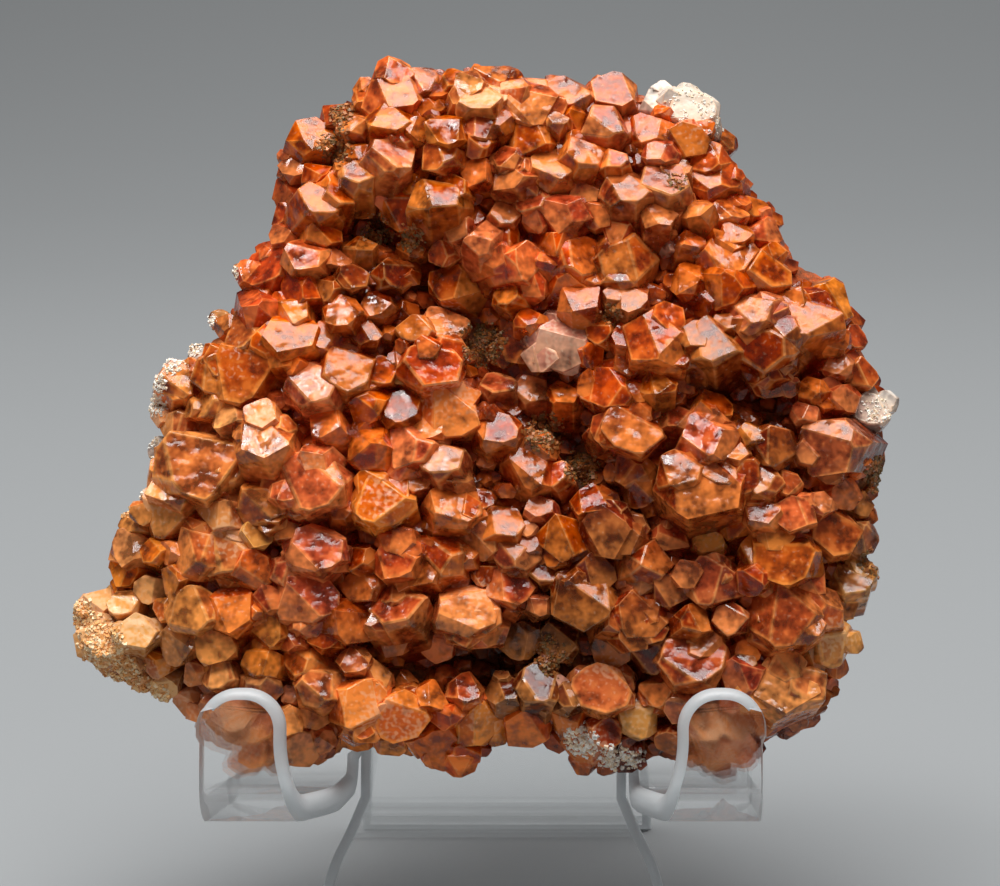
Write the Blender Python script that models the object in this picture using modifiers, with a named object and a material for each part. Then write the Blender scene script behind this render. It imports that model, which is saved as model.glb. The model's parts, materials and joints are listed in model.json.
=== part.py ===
# Calcite crystal cluster standing on a small easel bent from one clear sheet.
# The specimen and the sheet share one leaning frame: x runs to the right, y up along the
# specimen's face and z out of the face towards the viewer. Lengths in it are millimetres.
import math
import random

import bmesh
import bpy
from mathutils import Matrix, Vector, geometry, noise

# Driving dimensions, in millimetres and degrees
MM = 0.001
LEAN_BACK = 16.0
SHEET = 3.0
STAND_CENTRE = 0.5
HOOK_REACH = 25.3
HOOK_OUTER = 31.2
HOOK_INNER = 21.8
HOOK_FLARE = 19.2
HOOK_SLIT = 0.3
LEDGE_TAPER = 1.7
LIP_SPLAY = 0.4
LIP_TOP = -30.6
LIP_CORNER = 4.5
LEDGE_TOP = -42.8
PLATE_FRONT = -16.3
PLATE_HALF = 16.3
PLATE_TOP = 13.0
SHOULDER_HEIGHT = 38.0
SHOULDER_SWEEP = 1.5
FOLD_RADIUS = 3.5
LIP_RADIUS = 4.5
TOP_RADIUS = 4.0
REAR_FOOT = (-60.0, -56.4)
REAR_FOOT_HALF = 20.4
TABLE_DROP = 22.0
BEND_STEPS = 6
WELD = 0.0001

# Front leg's half width at heights below the fold
TONGUE_WIDTHS = [(-73.0, 23.5), (-65.0, 22.6), (-59.0, 21.4), (-54.0, 20.0), (-49.8, 18.0), (-45.8, 16.3)]

# Growth of the cluster
FACE_HEIGHT = 1.0
EDGE_FALL_WIDTH = 12.0
EDGE_FALL_DEPTH = 7.0
CRUST_DEPTH = 2.8
MATRIX_INSET = 0.9
MATRIX_GRID = 8.0
BACK_DEPTH = -14.9
BACK_EDGE = -12.6
BACK_ROUNDING = 7.0
ROOT_DEPTH = -11.5

# Edge of the specimen seen square on, clockwise from the top left corner
OUTLINE = [
    (-21.5, 34.8), (-18.0, 37.8), (-12.5, 40.3), (-6.5, 41.8), (-1.0, 42.2), (4.0, 41.2),
    (9.0, 40.6), (15.5, 40.8), (19.5, 39.2), (25.5, 38.6), (28.3, 35.5), (30.2, 30.0),
    (34.0, 26.2), (36.2, 21.8), (38.3, 18.6), (42.5, 17.0), (44.3, 12.8), (46.0, 8.8),
    (47.2, 5.5), (47.8, 0.0), (48.3, -4.5), (47.3, -9.5), (46.9, -13.2), (45.6, -17.5),
    (44.9, -20.5), (44.0, -24.0), (42.9, -28.8), (41.7, -32.4), (39.6, -35.4), (36.4, -37.6),
    (33.4, -38.9), (30.8, -41.3), (27.8, -42.4), (24.0, -41.3), (20.8, -40.9), (17.0, -41.9),
    (11.4, -41.6), (7.6, -38.4), (2.6, -38.9), (-1.2, -40.6), (-5.2, -41.7), (-8.6, -40.2),
    (-13.0, -39.7), (-16.8, -39.2), (-19.4, -41.9), (-25.2, -42.3), (-29.8, -39.4), (-33.5, -37.2),
    (-37.5, -33.9), (-42.0, -32.0), (-46.2, -29.9), (-48.5, -26.3), (-48.0, -21.5), (-43.8, -18.7),
    (-43.6, -14.5), (-41.0, -10.0), (-38.8, -6.0), (-39.0, -2.0), (-37.6, 2.4), (-36.3, 5.9),
    (-32.7, 9.2), (-30.4, 13.6), (-27.9, 19.4), (-25.2, 24.2), (-23.8, 29.5)]

# Crystals as (right, up, radius), some with the compass direction and slope of their main face
CRYSTALS = [
    # Top edge and the band under it
    (-18.0, 36.0, 2.0), (-19.5, 33.5, 2.5, 60, 35), (-22.0, 30.0, 2.0, 120, 30), (-13.8, 38.3, 2.0),
    (-10.5, 38.5, 3.0, 80, 35), (-7.0, 40.0, 2.0, 70, 35), (-10.5, 35.0, 2.5, 90, 35),
    (-4.0, 33.0, 2.2), (-10.0, 30.5, 2.6, 60, 38), (-14.3, 28.3, 2.0, 90, 35), (-1.2, 28.3, 2.0),
    (1.0, 40.7, 2.2), (-0.5, 37.6, 3.2, 95, 32), (5.8, 36.3, 2.8, 90, 12),
    (10.0, 38.3, 2.6, 100, 35), (5.3, 32.2, 2.2), (8.5, 29.4, 2.7, 80, 30), (11.8, 30.6, 2.1),
    (14.5, 34.5, 2.6), (15.5, 38.6, 2.6, 90, 30), (2.8, 28.2, 2.7), (19.3, 34.0, 2.4),
    (20.8, 37.4, 2.0), (26.5, 28.7, 3.4, 100, 28), (21.2, 27.6, 3.3, 90, 38), (16.8, 26.6, 2.5),
    (24.0, 32.4, 2.3),
    # Upper left flank
    (-22.8, 25.3, 2.5), (-18.2, 25.6, 2.8, 60, 35), (-25.6, 18.0, 2.7), (-20.6, 18.8, 2.4),
    (-26.8, 14.6, 2.1), (-22.0, 14.6, 2.2), (-5.0, 26.0, 2.8, 90, 35), (-9.2, 24.0, 2.5),
    (-3.2, 22.0, 2.0), (-9.6, 16.8, 2.2, 30, 35), (-4.4, 15.8, 2.3), (-1.0, 18.2, 2.2),
    (-16.2, 12.2, 2.0),
    # Upper right flank with its large crystals
    (5.6, 25.3, 2.0), (8.6, 23.2, 2.5), (2.0, 20.8, 2.0), (6.0, 17.7, 3.2, 20, 35),
    (12.0, 18.2, 2.8), (11.5, 13.6, 2.3, 90, 35), (18.2, 18.3, 3.3, 30, 35), (20.5, 23.2, 2.0),
    (28.5, 19.0, 3.0), (17.3, 13.6, 2.1, 90, 30), (23.3, 15.8, 2.0), (26.6, 14.4, 2.4),
    (30.6, 12.6, 3.5, 110, 35), (28.8, 24.2, 2.0), (33.8, 21.6, 2.1), (33.6, 17.2, 2.6),
    (37.0, 12.0, 4.3, 90, 32), (41.6, 14.2, 2.6), (41.0, 9.8, 2.2),
    # Middle left
    (-28.3, 10.4, 2.7), (-25.0, 11.0, 2.1, 300, 30), (-21.8, 9.8, 3.1, 90, 30),
    (-17.9, 9.4, 2.0, 90, 35), (-34.3, 5.0, 2.9, 60, 30), (-28.2, 5.3, 4.0, 100, 18),
    (-18.7, 4.2, 2.9, 90, 25), (-24.4, -1.8, 3.7, 90, 35), (-32.2, 1.6, 2.1), (-29.3, 0.4, 2.2),
    (-14.8, 5.8, 2.9, 70, 28), (-4.3, 11.0, 2.4), (-5.4, 6.3, 3.5, 70, 20),
    (-9.0, 1.4, 2.4, 90, 30), (-3.6, 1.0, 3.9, 80, 12), (-9.3, -3.3, 2.8), (-13.9, -3.2, 2.4),
    (-36.9, -0.6, 2.3),
    # Middle right
    (4.0, 8.7, 2.5), (9.0, 8.1, 3.3, 200, 6), (14.0, 3.4, 2.7, 140, 25), (1.9, 4.2, 2.1, 90, 40),
    (5.9, 3.3, 2.0, 90, 30), (1.9, -1.3, 2.4, 90, 30), (21.0, 9.4, 4.0, 60, 25), (26.3, 8.8, 3.3),
    (31.2, 7.4, 3.8), (33.6, 4.0, 2.4), (26.9, 1.5, 2.0), (17.4, -1.3, 3.6, 100, 15),
    (25.5, -2.1, 3.0, 120, 25), (28.8, -3.4, 2.4), (39.2, -3.6, 3.6, 180, 25), (34.0, -3.6, 2.6),
    (43.4, -4.0, 2.0),
    # Lower left with its honey crystals
    (-32.4, -5.0, 4.9, 90, 20), (-37.5, -11.2, 3.4, 200, 20), (-41.0, -11.8, 2.0),
    (-41.6, -14.8, 2.2), (-33.9, -15.8, 3.0), (-24.5, -9.5, 2.7), (-19.6, -7.4, 4.2, 120, 15),
    (-31.0, -11.2, 2.4), (-28.9, -15.2, 3.4, 80, 18), (-25.0, -17.2, 2.2),
    (-18.6, -14.8, 2.9, 80, 25), (-11.2, -9.2, 3.9, 100, 18), (-4.4, -4.2, 2.8, 100, 35),
    (-2.4, -9.7, 2.9, 60, 30), (-9.7, -16.0, 2.7), (-5.1, -15.9, 2.8), (-0.8, -14.3, 2.3),
    (-42.4, -18.0, 2.0), (-45.2, -20.9, 2.0), (-39.3, -24.4, 2.2, 60, 25),
    (-43.8, -25.4, 2.3, 120, 25), (-35.2, -26.3, 2.4), (-33.0, -21.9, 2.6),
    # Lower middle
    (-28.4, -21.8, 2.8, 90, 18), (-30.4, -25.8, 2.4), (-24.9, -24.4, 2.1), (-25.4, -28.0, 2.1),
    (-19.3, -20.1, 3.1), (-17.7, -24.6, 2.1), (-17.9, -30.2, 2.4, 70, 25), (-14.0, -19.4, 2.1),
    (-9.5, -21.4, 3.0, 110, 35), (-14.0, -23.6, 2.5), (-10.2, -25.6, 2.2),
    (-0.9, -21.8, 3.9, 60, 20), (-5.6, -26.2, 2.4), (-12.8, -33.0, 3.1), (-8.9, -34.6, 3.4),
    (6.2, -5.3, 2.9, 80, 30), (16.5, -5.8, 2.0), (12.8, -9.4, 2.4, 100, 40),
    (2.5, -11.8, 2.3, 90, 35), (8.9, -13.9, 2.5, 170, 12), (14.4, -13.2, 2.8, 180, 12),
    (4.0, -15.4, 2.1), (13.6, -18.0, 2.2, 80, 35), (3.7, -19.3, 2.3), (11.1, -21.4, 3.5, 100, 30),
    (4.2, -25.8, 2.3), (8.7, -25.7, 2.4), (14.8, -26.2, 2.6), (14.0, -31.0, 3.1, 100, 20),
    (6.9, -30.3, 2.6), (2.9, -30.9, 2.0),
    # Lower right with its large crystals
    (25.0, -7.6, 4.9, 100, 20), (17.8, -8.8, 2.1), (22.3, -13.4, 2.0), (20.3, -16.1, 2.4),
    (17.7, -18.3, 2.1), (25.8, -18.6, 2.9), (32.0, -10.4, 2.1, 110, 30), (35.6, -11.0, 2.1),
    (40.6, -13.3, 2.8), (45.0, -14.0, 2.0), (34.5, -15.8, 3.9, 120, 15), (38.6, -18.6, 2.0),
    (42.8, -18.6, 2.3, 90, 25), (21.8, -19.8, 2.1), (18.2, -22.6, 3.0, 95, 25),
    (24.2, -27.0, 4.0, 90, 25), (19.2, -27.0, 2.4), (28.8, -30.3, 2.6), (20.0, -31.4, 2.0),
    (35.0, -22.0, 4.3, 60, 18), (40.8, -26.2, 3.2), (34.6, -30.7, 3.8, 80, 20), (38.6, -31.8, 2.2),
    # Bottom edge, and what shows through the two hooks
    (-20.4, -38.2, 2.4), (-4.2, -38.4, 2.9), (0.3, -35.5, 3.2), (5.2, -36.0, 2.7),
    (9.3, -35.2, 2.2), (11.2, -38.6, 2.5), (18.2, -34.9, 2.3), (-31.4, -34.2, 2.1),
    (-28.2, -33.8, 2.1), (-25.6, -35.0, 2.1), (-26.9, -38.6, 2.2), (25.8, -35.0, 2.3),
    (29.2, -34.8, 2.4), (26.2, -38.8, 2.3), (30.0, -38.3, 2.3), (33.0, -35.2, 2.1),
    (36.4, -35.0, 2.1)]

# Rough lumps of matrix and crust that carry no crystals: right, up, radius, rise above the relief
LUMPS = [
    (24.0, 36.2, 3.0, 0.8), (45.0, 1.4, 2.4, 1.2), (17.6, -39.4, 2.5, 1.5), (0.2, 8.6, 2.9, -0.8),
    (7.2, -1.6, 2.4, -1.6), (11.4, -5.8, 1.9, -1.4), (45.9, -5.4, 2.0, 0.6), (44.6, -8.0, 1.7, 0.4)]

# Broad swells as (right, up, half width, half height, rise) and valleys as (depth, width, route)
SWELLS = [(29.0, -4.0, 17.0, 26.0, 2.6), (-30.0, -6.0, 13.0, 14.0, 1.2), (-9.0, -35.0, 9.0, 5.0, 2.2),
          (2.0, 37.0, 14.0, 6.0, 1.4), (-18.0, -8.0, 9.0, 9.0, 0.8)]
VALLEYS = [
    (3.6, 3.6, [(-13.0, 22.5), (-9.0, 20.5), (-4.5, 14.5), (0.0, 9.5), (4.0, 5.5), (9.5, -1.0),
                (11.5, -6.0)]),
    (3.4, 3.2, [(-8.0, -28.0), (0.0, -27.5), (7.0, -27.0), (12.5, -26.5), (17.0, -30.0)]),
    (2.6, 2.4, [(18.0, -11.0), (24.0, -12.8), (30.0, -13.5)]),
    (2.8, 2.4, [(25.5, 4.0), (30.0, 2.4), (35.5, 1.8), (38.0, 6.0)])]


def clear_scene():
    for thing in list(bpy.data.objects):
        bpy.data.objects.remove(thing, do_unlink=True)


def make_collection(name):
    group = bpy.data.collections.new(name)
    bpy.context.scene.collection.children.link(group)
    return group


def make_material(name, colour, roughness, transmission=0.0):
    material = bpy.data.materials.new(name)
    material.use_nodes = True
    shader = material.node_tree.nodes["Principled BSDF"]
    shader.inputs["Base Color"].default_value = (*colour, 1.0)
    shader.inputs["Roughness"].default_value = roughness
    shader.inputs["Metallic"].default_value = 0.0
    shader.inputs["Transmission Weight"].default_value = transmission
    return material


def mesh_object(name, bm, group):
    mesh = bpy.data.meshes.new(name)
    bm.to_mesh(mesh)
    bm.free()
    thing = bpy.data.objects.new(name, mesh)
    group.objects.link(thing)
    return thing


def distance_to_route(point, route):
    nearest = math.inf
    for start, end in zip(route, route[1:]):
        foot, share = geometry.intersect_point_line(point, Vector(start), Vector(end))
        foot = Vector(start).lerp(Vector(end), min(max(share, 0.0), 1.0))
        nearest = min(nearest, (foot - point).length)
    return nearest


def inside_outline(point):
    crossings = 0
    for (x1, y1), (x2, y2) in zip(OUTLINE, OUTLINE[1:] + OUTLINE[:1]):
        if (y1 > point.y) != (y2 > point.y):
            crossings += point.x < x1 + (point.y - y1) * (x2 - x1) / (y2 - y1)
    return crossings % 2 == 1


def edge_distance(point):
    distance = distance_to_route(point, OUTLINE + OUTLINE[:1])
    return distance if inside_outline(point) else -distance


def relief(u, v):
    """Height of the crystal carpet over the face plane."""
    point = Vector((u, v))
    shore = min(max(edge_distance(point) / EDGE_FALL_WIDTH, 0.0), 1.0)
    height = FACE_HEIGHT - EDGE_FALL_DEPTH * (1.0 - shore) ** 2
    for centre_u, centre_v, half_u, half_v, rise in SWELLS:
        height += rise * math.exp(-((u - centre_u) / half_u) ** 2 - ((v - centre_v) / half_v) ** 2)
    for depth, width, route in VALLEYS:
        height -= depth * math.exp(-(distance_to_route(point, route) / width) ** 2)
    return height


def growth_direction(u, v, dice):
    """Crystals stand square to the carpet, so they fan outwards at the edges."""
    step = 1.0
    slope_u = (relief(u + step, v) - relief(u - step, v)) / (2.0 * step)
    slope_v = (relief(u, v + step) - relief(u, v - step)) / (2.0 * step)
    lean_u = -0.75 * slope_u + dice.uniform(-0.16, 0.16)
    lean_v = -0.75 * slope_v + dice.uniform(-0.16, 0.16)
    return Vector((lean_u, lean_v, 1.0)).normalized()


def cut_top(bm, azimuth, slope, depth):
    """Cuts one rhomb face, whose plane crosses the crystal's axis at the depth below its top."""
    normal = Vector((math.sin(slope) * math.cos(azimuth), math.sin(slope) * math.sin(azimuth),
                     math.cos(slope)))
    parts = bm.verts[:] + bm.edges[:] + bm.faces[:]
    cut = bmesh.ops.bisect_plane(bm, geom=parts, plane_co=(0.0, 0.0, -depth), plane_no=normal,
                                 clear_outer=True)
    rim = [item for item in cut["geom_cut"] if isinstance(item, bmesh.types.BMEdge)]
    bmesh.ops.edgeloop_fill(bm, edges=rim)


def crystal_mesh(radius, length, azimuth, slope, dice):
    """Six-sided prism with a roof of three rhomb faces, its tip at the origin."""
    bm = bmesh.new()
    bmesh.ops.create_cone(bm, cap_ends=True, segments=6, radius1=radius * dice.uniform(1.08, 1.2),
                          radius2=radius * dice.uniform(0.92, 1.0), depth=length + radius,
                          matrix=Matrix.Translation((0.0, 0.0, (radius - length) / 2.0)))
    turn = Matrix.Rotation(azimuth + math.radians(30.0), 4, "Z")
    squash = Matrix.Diagonal((dice.uniform(0.88, 1.1), dice.uniform(0.9, 1.12), 1.0, 1.0))
    bmesh.ops.transform(bm, matrix=squash @ turn, verts=bm.verts)
    cut_top(bm, azimuth, slope, radius * (0.42 - 0.3 * slope))
    for side in (-1.0, 1.0):
        cut_top(bm, azimuth + side * math.radians(dice.uniform(108.0, 132.0)),
                math.radians(dice.uniform(30.0, 46.0)), radius * dice.uniform(0.0, 0.14))
    return bm


def crystal_object(name, row, group):
    u, v, radius, *main_face = row
    dice = random.Random(f"crystal {u:.1f} {v:.1f}")
    if main_face:
        azimuth, slope = math.radians(main_face[0]), math.radians(main_face[1])
    else:
        azimuth, slope = math.radians(dice.gauss(90.0, 50.0)), math.radians(dice.uniform(22.0, 40.0))
    direction = growth_direction(u, v, dice)
    tip = relief(u, v) + 0.45 * radius + dice.uniform(-0.4, 0.4)
    length = (tip - ROOT_DEPTH) / direction.z
    bm = crystal_mesh(radius, length, azimuth, slope, dice)
    aim = Vector((0.0, 0.0, 1.0)).rotation_difference(direction).to_matrix().to_4x4()
    bmesh.ops.transform(bm, matrix=Matrix.Translation((u, v, tip)) @ aim, verts=bm.verts)
    return mesh_object(name, bm, group)


def lump_object(name, row, group):
    u, v, radius, rise = row
    dice = random.Random(f"lump {u:.1f} {v:.1f}")
    bm = bmesh.new()
    bmesh.ops.create_icosphere(bm, subdivisions=1, radius=radius)
    height = relief(u, v) + rise
    for vert in bm.verts:
        vert.co *= 1.0 + dice.uniform(-0.16, 0.16)
        vert.co.z *= 1.25
    bmesh.ops.transform(bm, matrix=Matrix.Translation((u, v, height - radius)), verts=bm.verts)
    return mesh_object(name, bm, group)


def matrix_plan():
    """Outline drawn in a little, and a loose grid of points inside it, joined into triangles."""
    rim = []
    for u, v in OUTLINE:
        point = Vector((u, v))
        rim.append(point * (1.0 - MATRIX_INSET / point.length))
    inner = []
    for row in range(-6, 7):
        for column in range(-7, 8):
            point = Vector((column + 0.5 * (row % 2), row * 0.87)) * MATRIX_GRID
            if edge_distance(point) > 0.45 * MATRIX_GRID:
                inner.append(point)
    count = len(rim)
    loop = [(index, (index + 1) % count) for index in range(count)]
    points, _, faces, *_ = geometry.delaunay_2d_cdt(rim + inner, loop, [], 1, 1e-5)
    return points, faces, count


def matrix_front(point):
    return relief(point.x, point.y) - CRUST_DEPTH + 0.6 * noise.noise(Vector((*point, 0.0)) * 0.3)


def matrix_back(point):
    shore = min(max(edge_distance(point) / BACK_ROUNDING, 0.0), 1.0)
    base = BACK_EDGE + (BACK_DEPTH - BACK_EDGE) * math.sqrt(shore)
    return base + 1.1 * noise.noise(Vector((*point, 9.0)) * 0.13)


def matrix_object(group):
    """Slab under the crystals: front and back surfaces over one plan, closed around the rim."""
    points, faces, count = matrix_plan()
    bm = bmesh.new()
    front = [bm.verts.new((*point, matrix_front(point))) for point in points]
    back = [bm.verts.new((*point, matrix_back(point))) for point in points]
    for face in faces:
        bm.faces.new([front[index] for index in face])
        bm.faces.new([back[index] for index in reversed(face)])
    for index in range(count):
        following = (index + 1) % count
        bm.faces.new([front[index], back[index], back[following], front[following]])
    bmesh.ops.recalc_face_normals(bm, faces=bm.faces)
    return mesh_object("calcite_cluster", bm, group)


def keep_outer_shell(bm):
    """Drops the closed pockets left between crystals, keeping the largest shell only."""
    unseen = set(bm.verts)
    shells = []
    while unseen:
        shell = {unseen.pop()}
        border = list(shell)
        while border:
            vert = border.pop()
            for edge in vert.link_edges:
                other = edge.other_vert(vert)
                if other not in shell:
                    shell.add(other)
                    border.append(other)
        unseen -= shell
        shells.append(shell)
    shells.sort(key=len)
    for shell in shells[:-1]:
        bmesh.ops.delete(bm, geom=list(shell), context="VERTS")


def join_to_one_solid(thing, pieces):
    union = thing.modifiers.new("Grown together", "BOOLEAN")
    union.operation = "UNION"
    union.solver = "EXACT"
    union.operand_type = "COLLECTION"
    union.collection = pieces
    evaluated = thing.evaluated_get(bpy.context.evaluated_depsgraph_get())
    bm = bmesh.new()
    bm.from_mesh(evaluated.to_mesh())
    thing.modifiers.clear()
    keep_outer_shell(bm)
    bmesh.ops.triangulate(bm, faces=bm.faces)
    bmesh.ops.scale(bm, vec=(MM, MM, MM), verts=bm.verts)
    bm.to_mesh(thing.data)
    bm.free()


def build_cluster(group, helpers):
    cluster = matrix_object(group)
    for index, row in enumerate(CRYSTALS):
        crystal_object(f"crystal_{index}", row, helpers)
    for index, row in enumerate(LUMPS):
        lump_object(f"lump_{index}", row, helpers)
    join_to_one_solid(cluster, helpers)
    for helper in list(helpers.objects):
        bpy.data.objects.remove(helper, do_unlink=True)
    cluster.data.materials.append(make_material("calcite", (0.62, 0.2, 0.07), 0.35))
    return cluster


def arc(centre_y, centre_z, radius, start, end, steps=BEND_STEPS):
    """Points of a bend in the side view, by angle from the outward direction z towards y."""
    points = []
    for index in range(steps + 1):
        angle = math.radians(start + (end - start) * index / steps)
        points.append((centre_y + radius * math.sin(angle), centre_z + radius * math.cos(angle)))
    return points


def add_strip(bm, rows):
    """Surface through rows of (side view point, left edge, right edge)."""
    previous = None
    for (y, z), left, right in rows:
        current = (bm.verts.new((left, y, z)), bm.verts.new((right, y, z)))
        if previous:
            bm.faces.new((previous[0], previous[1], current[1], current[0]))
        previous = current


def shoulder_rows():
    """Heights up the back plate from the fold, with the shoulders' outer half width at each."""
    fold = LEDGE_TOP - SHEET / 2.0 + FOLD_RADIUS
    rows = []
    for share in (1.0, 0.75, 0.5, 0.3, 0.14, 0.0):
        half = PLATE_HALF + (HOOK_OUTER - PLATE_HALF) * (1.0 - share) ** SHOULDER_SWEEP
        rows.append((fold + SHOULDER_HEIGHT * share, half))
    return rows


def centre_rows():
    """Front leg, back plate, top bend and rear leg as one strip, from foot to foot."""
    middle = PLATE_FRONT - SHEET / 2.0
    rows = []
    for height, half in TONGUE_WIDTHS:
        rows.append(((height, middle), -half, half))
    for height, _ in reversed(shoulder_rows()):
        rows.append(((height, middle), -PLATE_HALF, PLATE_HALF))
    bend_centre = middle - TOP_RADIUS
    fall, back = REAR_FOOT[0] - PLATE_TOP, REAR_FOOT[1] - bend_centre
    turn = math.degrees(math.atan2(-back, fall) + math.asin(TOP_RADIUS / math.hypot(fall, back)))
    for point in arc(PLATE_TOP, bend_centre, TOP_RADIUS, 0.0, turn, 2 * BEND_STEPS):
        rows.append((point, -PLATE_HALF, PLATE_HALF))
    rows.append((REAR_FOOT, -REAR_FOOT_HALF, REAR_FOOT_HALF))
    return rows


def hook_rows():
    """One side: shoulder, fold, ledge, upward bend and lip with rounded corners."""
    middle = PLATE_FRONT - SHEET / 2.0
    floor = LEDGE_TOP - SHEET / 2.0
    rows = []
    for height, half in shoulder_rows():
        rows.append(((height, middle), PLATE_HALF, half))
    for point in arc(floor + FOLD_RADIUS, middle + FOLD_RADIUS, FOLD_RADIUS, 180.0, 270.0)[1:]:
        rows.append((point, PLATE_HALF + HOOK_SLIT, HOOK_OUTER))
    ledge_start = middle + FOLD_RADIUS
    ledge_end = middle + HOOK_REACH - LIP_RADIUS
    for share in (0.4, 0.75):
        reach = ledge_start + (ledge_end - ledge_start) * share
        rows.append(((floor, reach), PLATE_HALF + HOOK_SLIT + LEDGE_TAPER * share, HOOK_OUTER))
    bend = arc(floor + LIP_RADIUS, ledge_end, LIP_RADIUS, 270.0, 360.0)
    for index, point in enumerate(bend):
        share = index / BEND_STEPS
        rows.append((point, HOOK_FLARE + (HOOK_INNER - HOOK_FLARE) * share ** 1.4, HOOK_OUTER))
    front = middle + HOOK_REACH
    for share in (0.0, 0.25, 0.5, 0.75, 0.92, 1.0):
        height = LIP_TOP - LIP_CORNER * (1.0 - share)
        inset = LIP_CORNER * (1.0 - math.sqrt(1.0 - share ** 2))
        rows.append(((height, front), HOOK_INNER + inset, HOOK_OUTER + LIP_SPLAY - inset))
    return rows


def solid_from_sheet(thing):
    sheet = thing.modifiers.new("Sheet thickness", "SOLIDIFY")
    sheet.thickness = SHEET
    sheet.offset = 0.0
    sheet.use_even_offset = True
    evaluated = thing.evaluated_get(bpy.context.evaluated_depsgraph_get())
    bm = bmesh.new()
    bm.from_mesh(evaluated.to_mesh())
    thing.modifiers.clear()
    return bm


def cut_feet_level(bm):
    """Cuts both feet flush with the table, which is level and so slants in the leaning frame."""
    lean = math.radians(LEAN_BACK)
    upright = Vector((0.0, math.cos(lean), math.sin(lean)))
    fold = Vector((0.0, LEDGE_TOP, PLATE_FRONT))
    cut = bmesh.ops.bisect_plane(bm, geom=bm.verts[:] + bm.edges[:] + bm.faces[:],
                                 plane_co=fold - upright * TABLE_DROP, plane_no=upright,
                                 clear_inner=True)
    rims = [item for item in cut["geom_cut"] if isinstance(item, bmesh.types.BMEdge)]
    bmesh.ops.edgeloop_fill(bm, edges=rims)


def build_stand(group):
    bm = bmesh.new()
    add_strip(bm, centre_rows())
    for side in (-1.0, 1.0):
        add_strip(bm, [(point, side * inner, side * outer) for point, inner, outer in hook_rows()])
    bmesh.ops.remove_doubles(bm, verts=bm.verts, dist=WELD)
    bmesh.ops.recalc_face_normals(bm, faces=bm.faces)
    stand = mesh_object("acrylic_stand", bm, group)
    bm = solid_from_sheet(stand)
    cut_feet_level(bm)
    bmesh.ops.recalc_face_normals(bm, faces=bm.faces)
    bmesh.ops.translate(bm, vec=(STAND_CENTRE, 0.0, 0.0), verts=bm.verts)
    bmesh.ops.scale(bm, vec=(MM, MM, MM), verts=bm.verts)
    bm.to_mesh(stand.data)
    bm.free()
    stand.data.materials.append(make_material("clear acrylic", (0.93, 0.95, 0.95), 0.06, 1.0))
    return stand


def lean_and_centre(pieces, group):
    """Leans the shared frame back and puts the middle of the whole base at the origin."""
    holder = bpy.data.objects.new("display", None)
    group.objects.link(holder)
    holder.rotation_euler = (math.radians(90.0 - LEAN_BACK), 0.0, 0.0)
    for piece in pieces:
        piece.parent = holder
    bpy.context.view_layer.update()
    corners = [piece.matrix_world @ vert.co for piece in pieces for vert in piece.data.vertices]
    low = [min(corner[axis] for corner in corners) for axis in range(3)]
    high = [max(corner[axis] for corner in corners) for axis in range(3)]
    holder.location = (-(low[0] + high[0]) / 2.0, -(low[1] + high[1]) / 2.0, -low[2])
    bpy.context.view_layer.update()


def main():
    clear_scene()
    parts = make_collection("calcite_cluster_on_easel")
    helpers = make_collection("helpers")
    lean_and_centre([build_cluster(parts, helpers), build_stand(parts)], parts)


main()
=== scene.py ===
import json
import math
import random

import bmesh
import bpy
from mathutils import Color, Matrix, Vector, bvhtree, geometry, noise

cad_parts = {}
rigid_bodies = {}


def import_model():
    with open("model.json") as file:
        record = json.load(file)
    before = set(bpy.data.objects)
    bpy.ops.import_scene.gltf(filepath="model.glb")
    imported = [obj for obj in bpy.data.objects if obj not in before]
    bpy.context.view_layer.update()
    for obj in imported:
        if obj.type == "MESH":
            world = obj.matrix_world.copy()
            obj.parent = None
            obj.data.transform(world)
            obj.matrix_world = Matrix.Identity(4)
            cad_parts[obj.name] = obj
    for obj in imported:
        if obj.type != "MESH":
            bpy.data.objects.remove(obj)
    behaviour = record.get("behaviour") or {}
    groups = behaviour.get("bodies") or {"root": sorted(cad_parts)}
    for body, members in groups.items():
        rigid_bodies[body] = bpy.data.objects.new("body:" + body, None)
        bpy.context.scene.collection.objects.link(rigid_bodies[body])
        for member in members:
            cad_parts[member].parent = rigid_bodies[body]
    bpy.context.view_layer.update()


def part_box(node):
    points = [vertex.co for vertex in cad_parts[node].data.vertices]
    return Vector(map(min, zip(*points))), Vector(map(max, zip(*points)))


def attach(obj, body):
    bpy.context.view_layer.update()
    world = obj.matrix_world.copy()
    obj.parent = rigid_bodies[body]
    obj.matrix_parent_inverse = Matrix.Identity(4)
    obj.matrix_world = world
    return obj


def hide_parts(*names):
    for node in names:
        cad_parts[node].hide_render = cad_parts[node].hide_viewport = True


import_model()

mm = 0.001

# One leaning frame for the whole display: x to the right, y up along the specimen's face, z out of
# the face. Everything is made in it, in millimetres, and leaned back at the end.
display = {"leanBack": 16.0, "standCentre": 0.5}

view = {
    "pictureWidth": 1000,
    "focalPixels": 2175.0,
    "aim": (2.1, -3.0, 0.0),  # point of the leaning frame in the middle of the picture
    "distance": 251.0,
    "pitch": 14.0,
    "standsRight": 12.4,  # the lens stands to the right of that point and is shifted back to it
}

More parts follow.
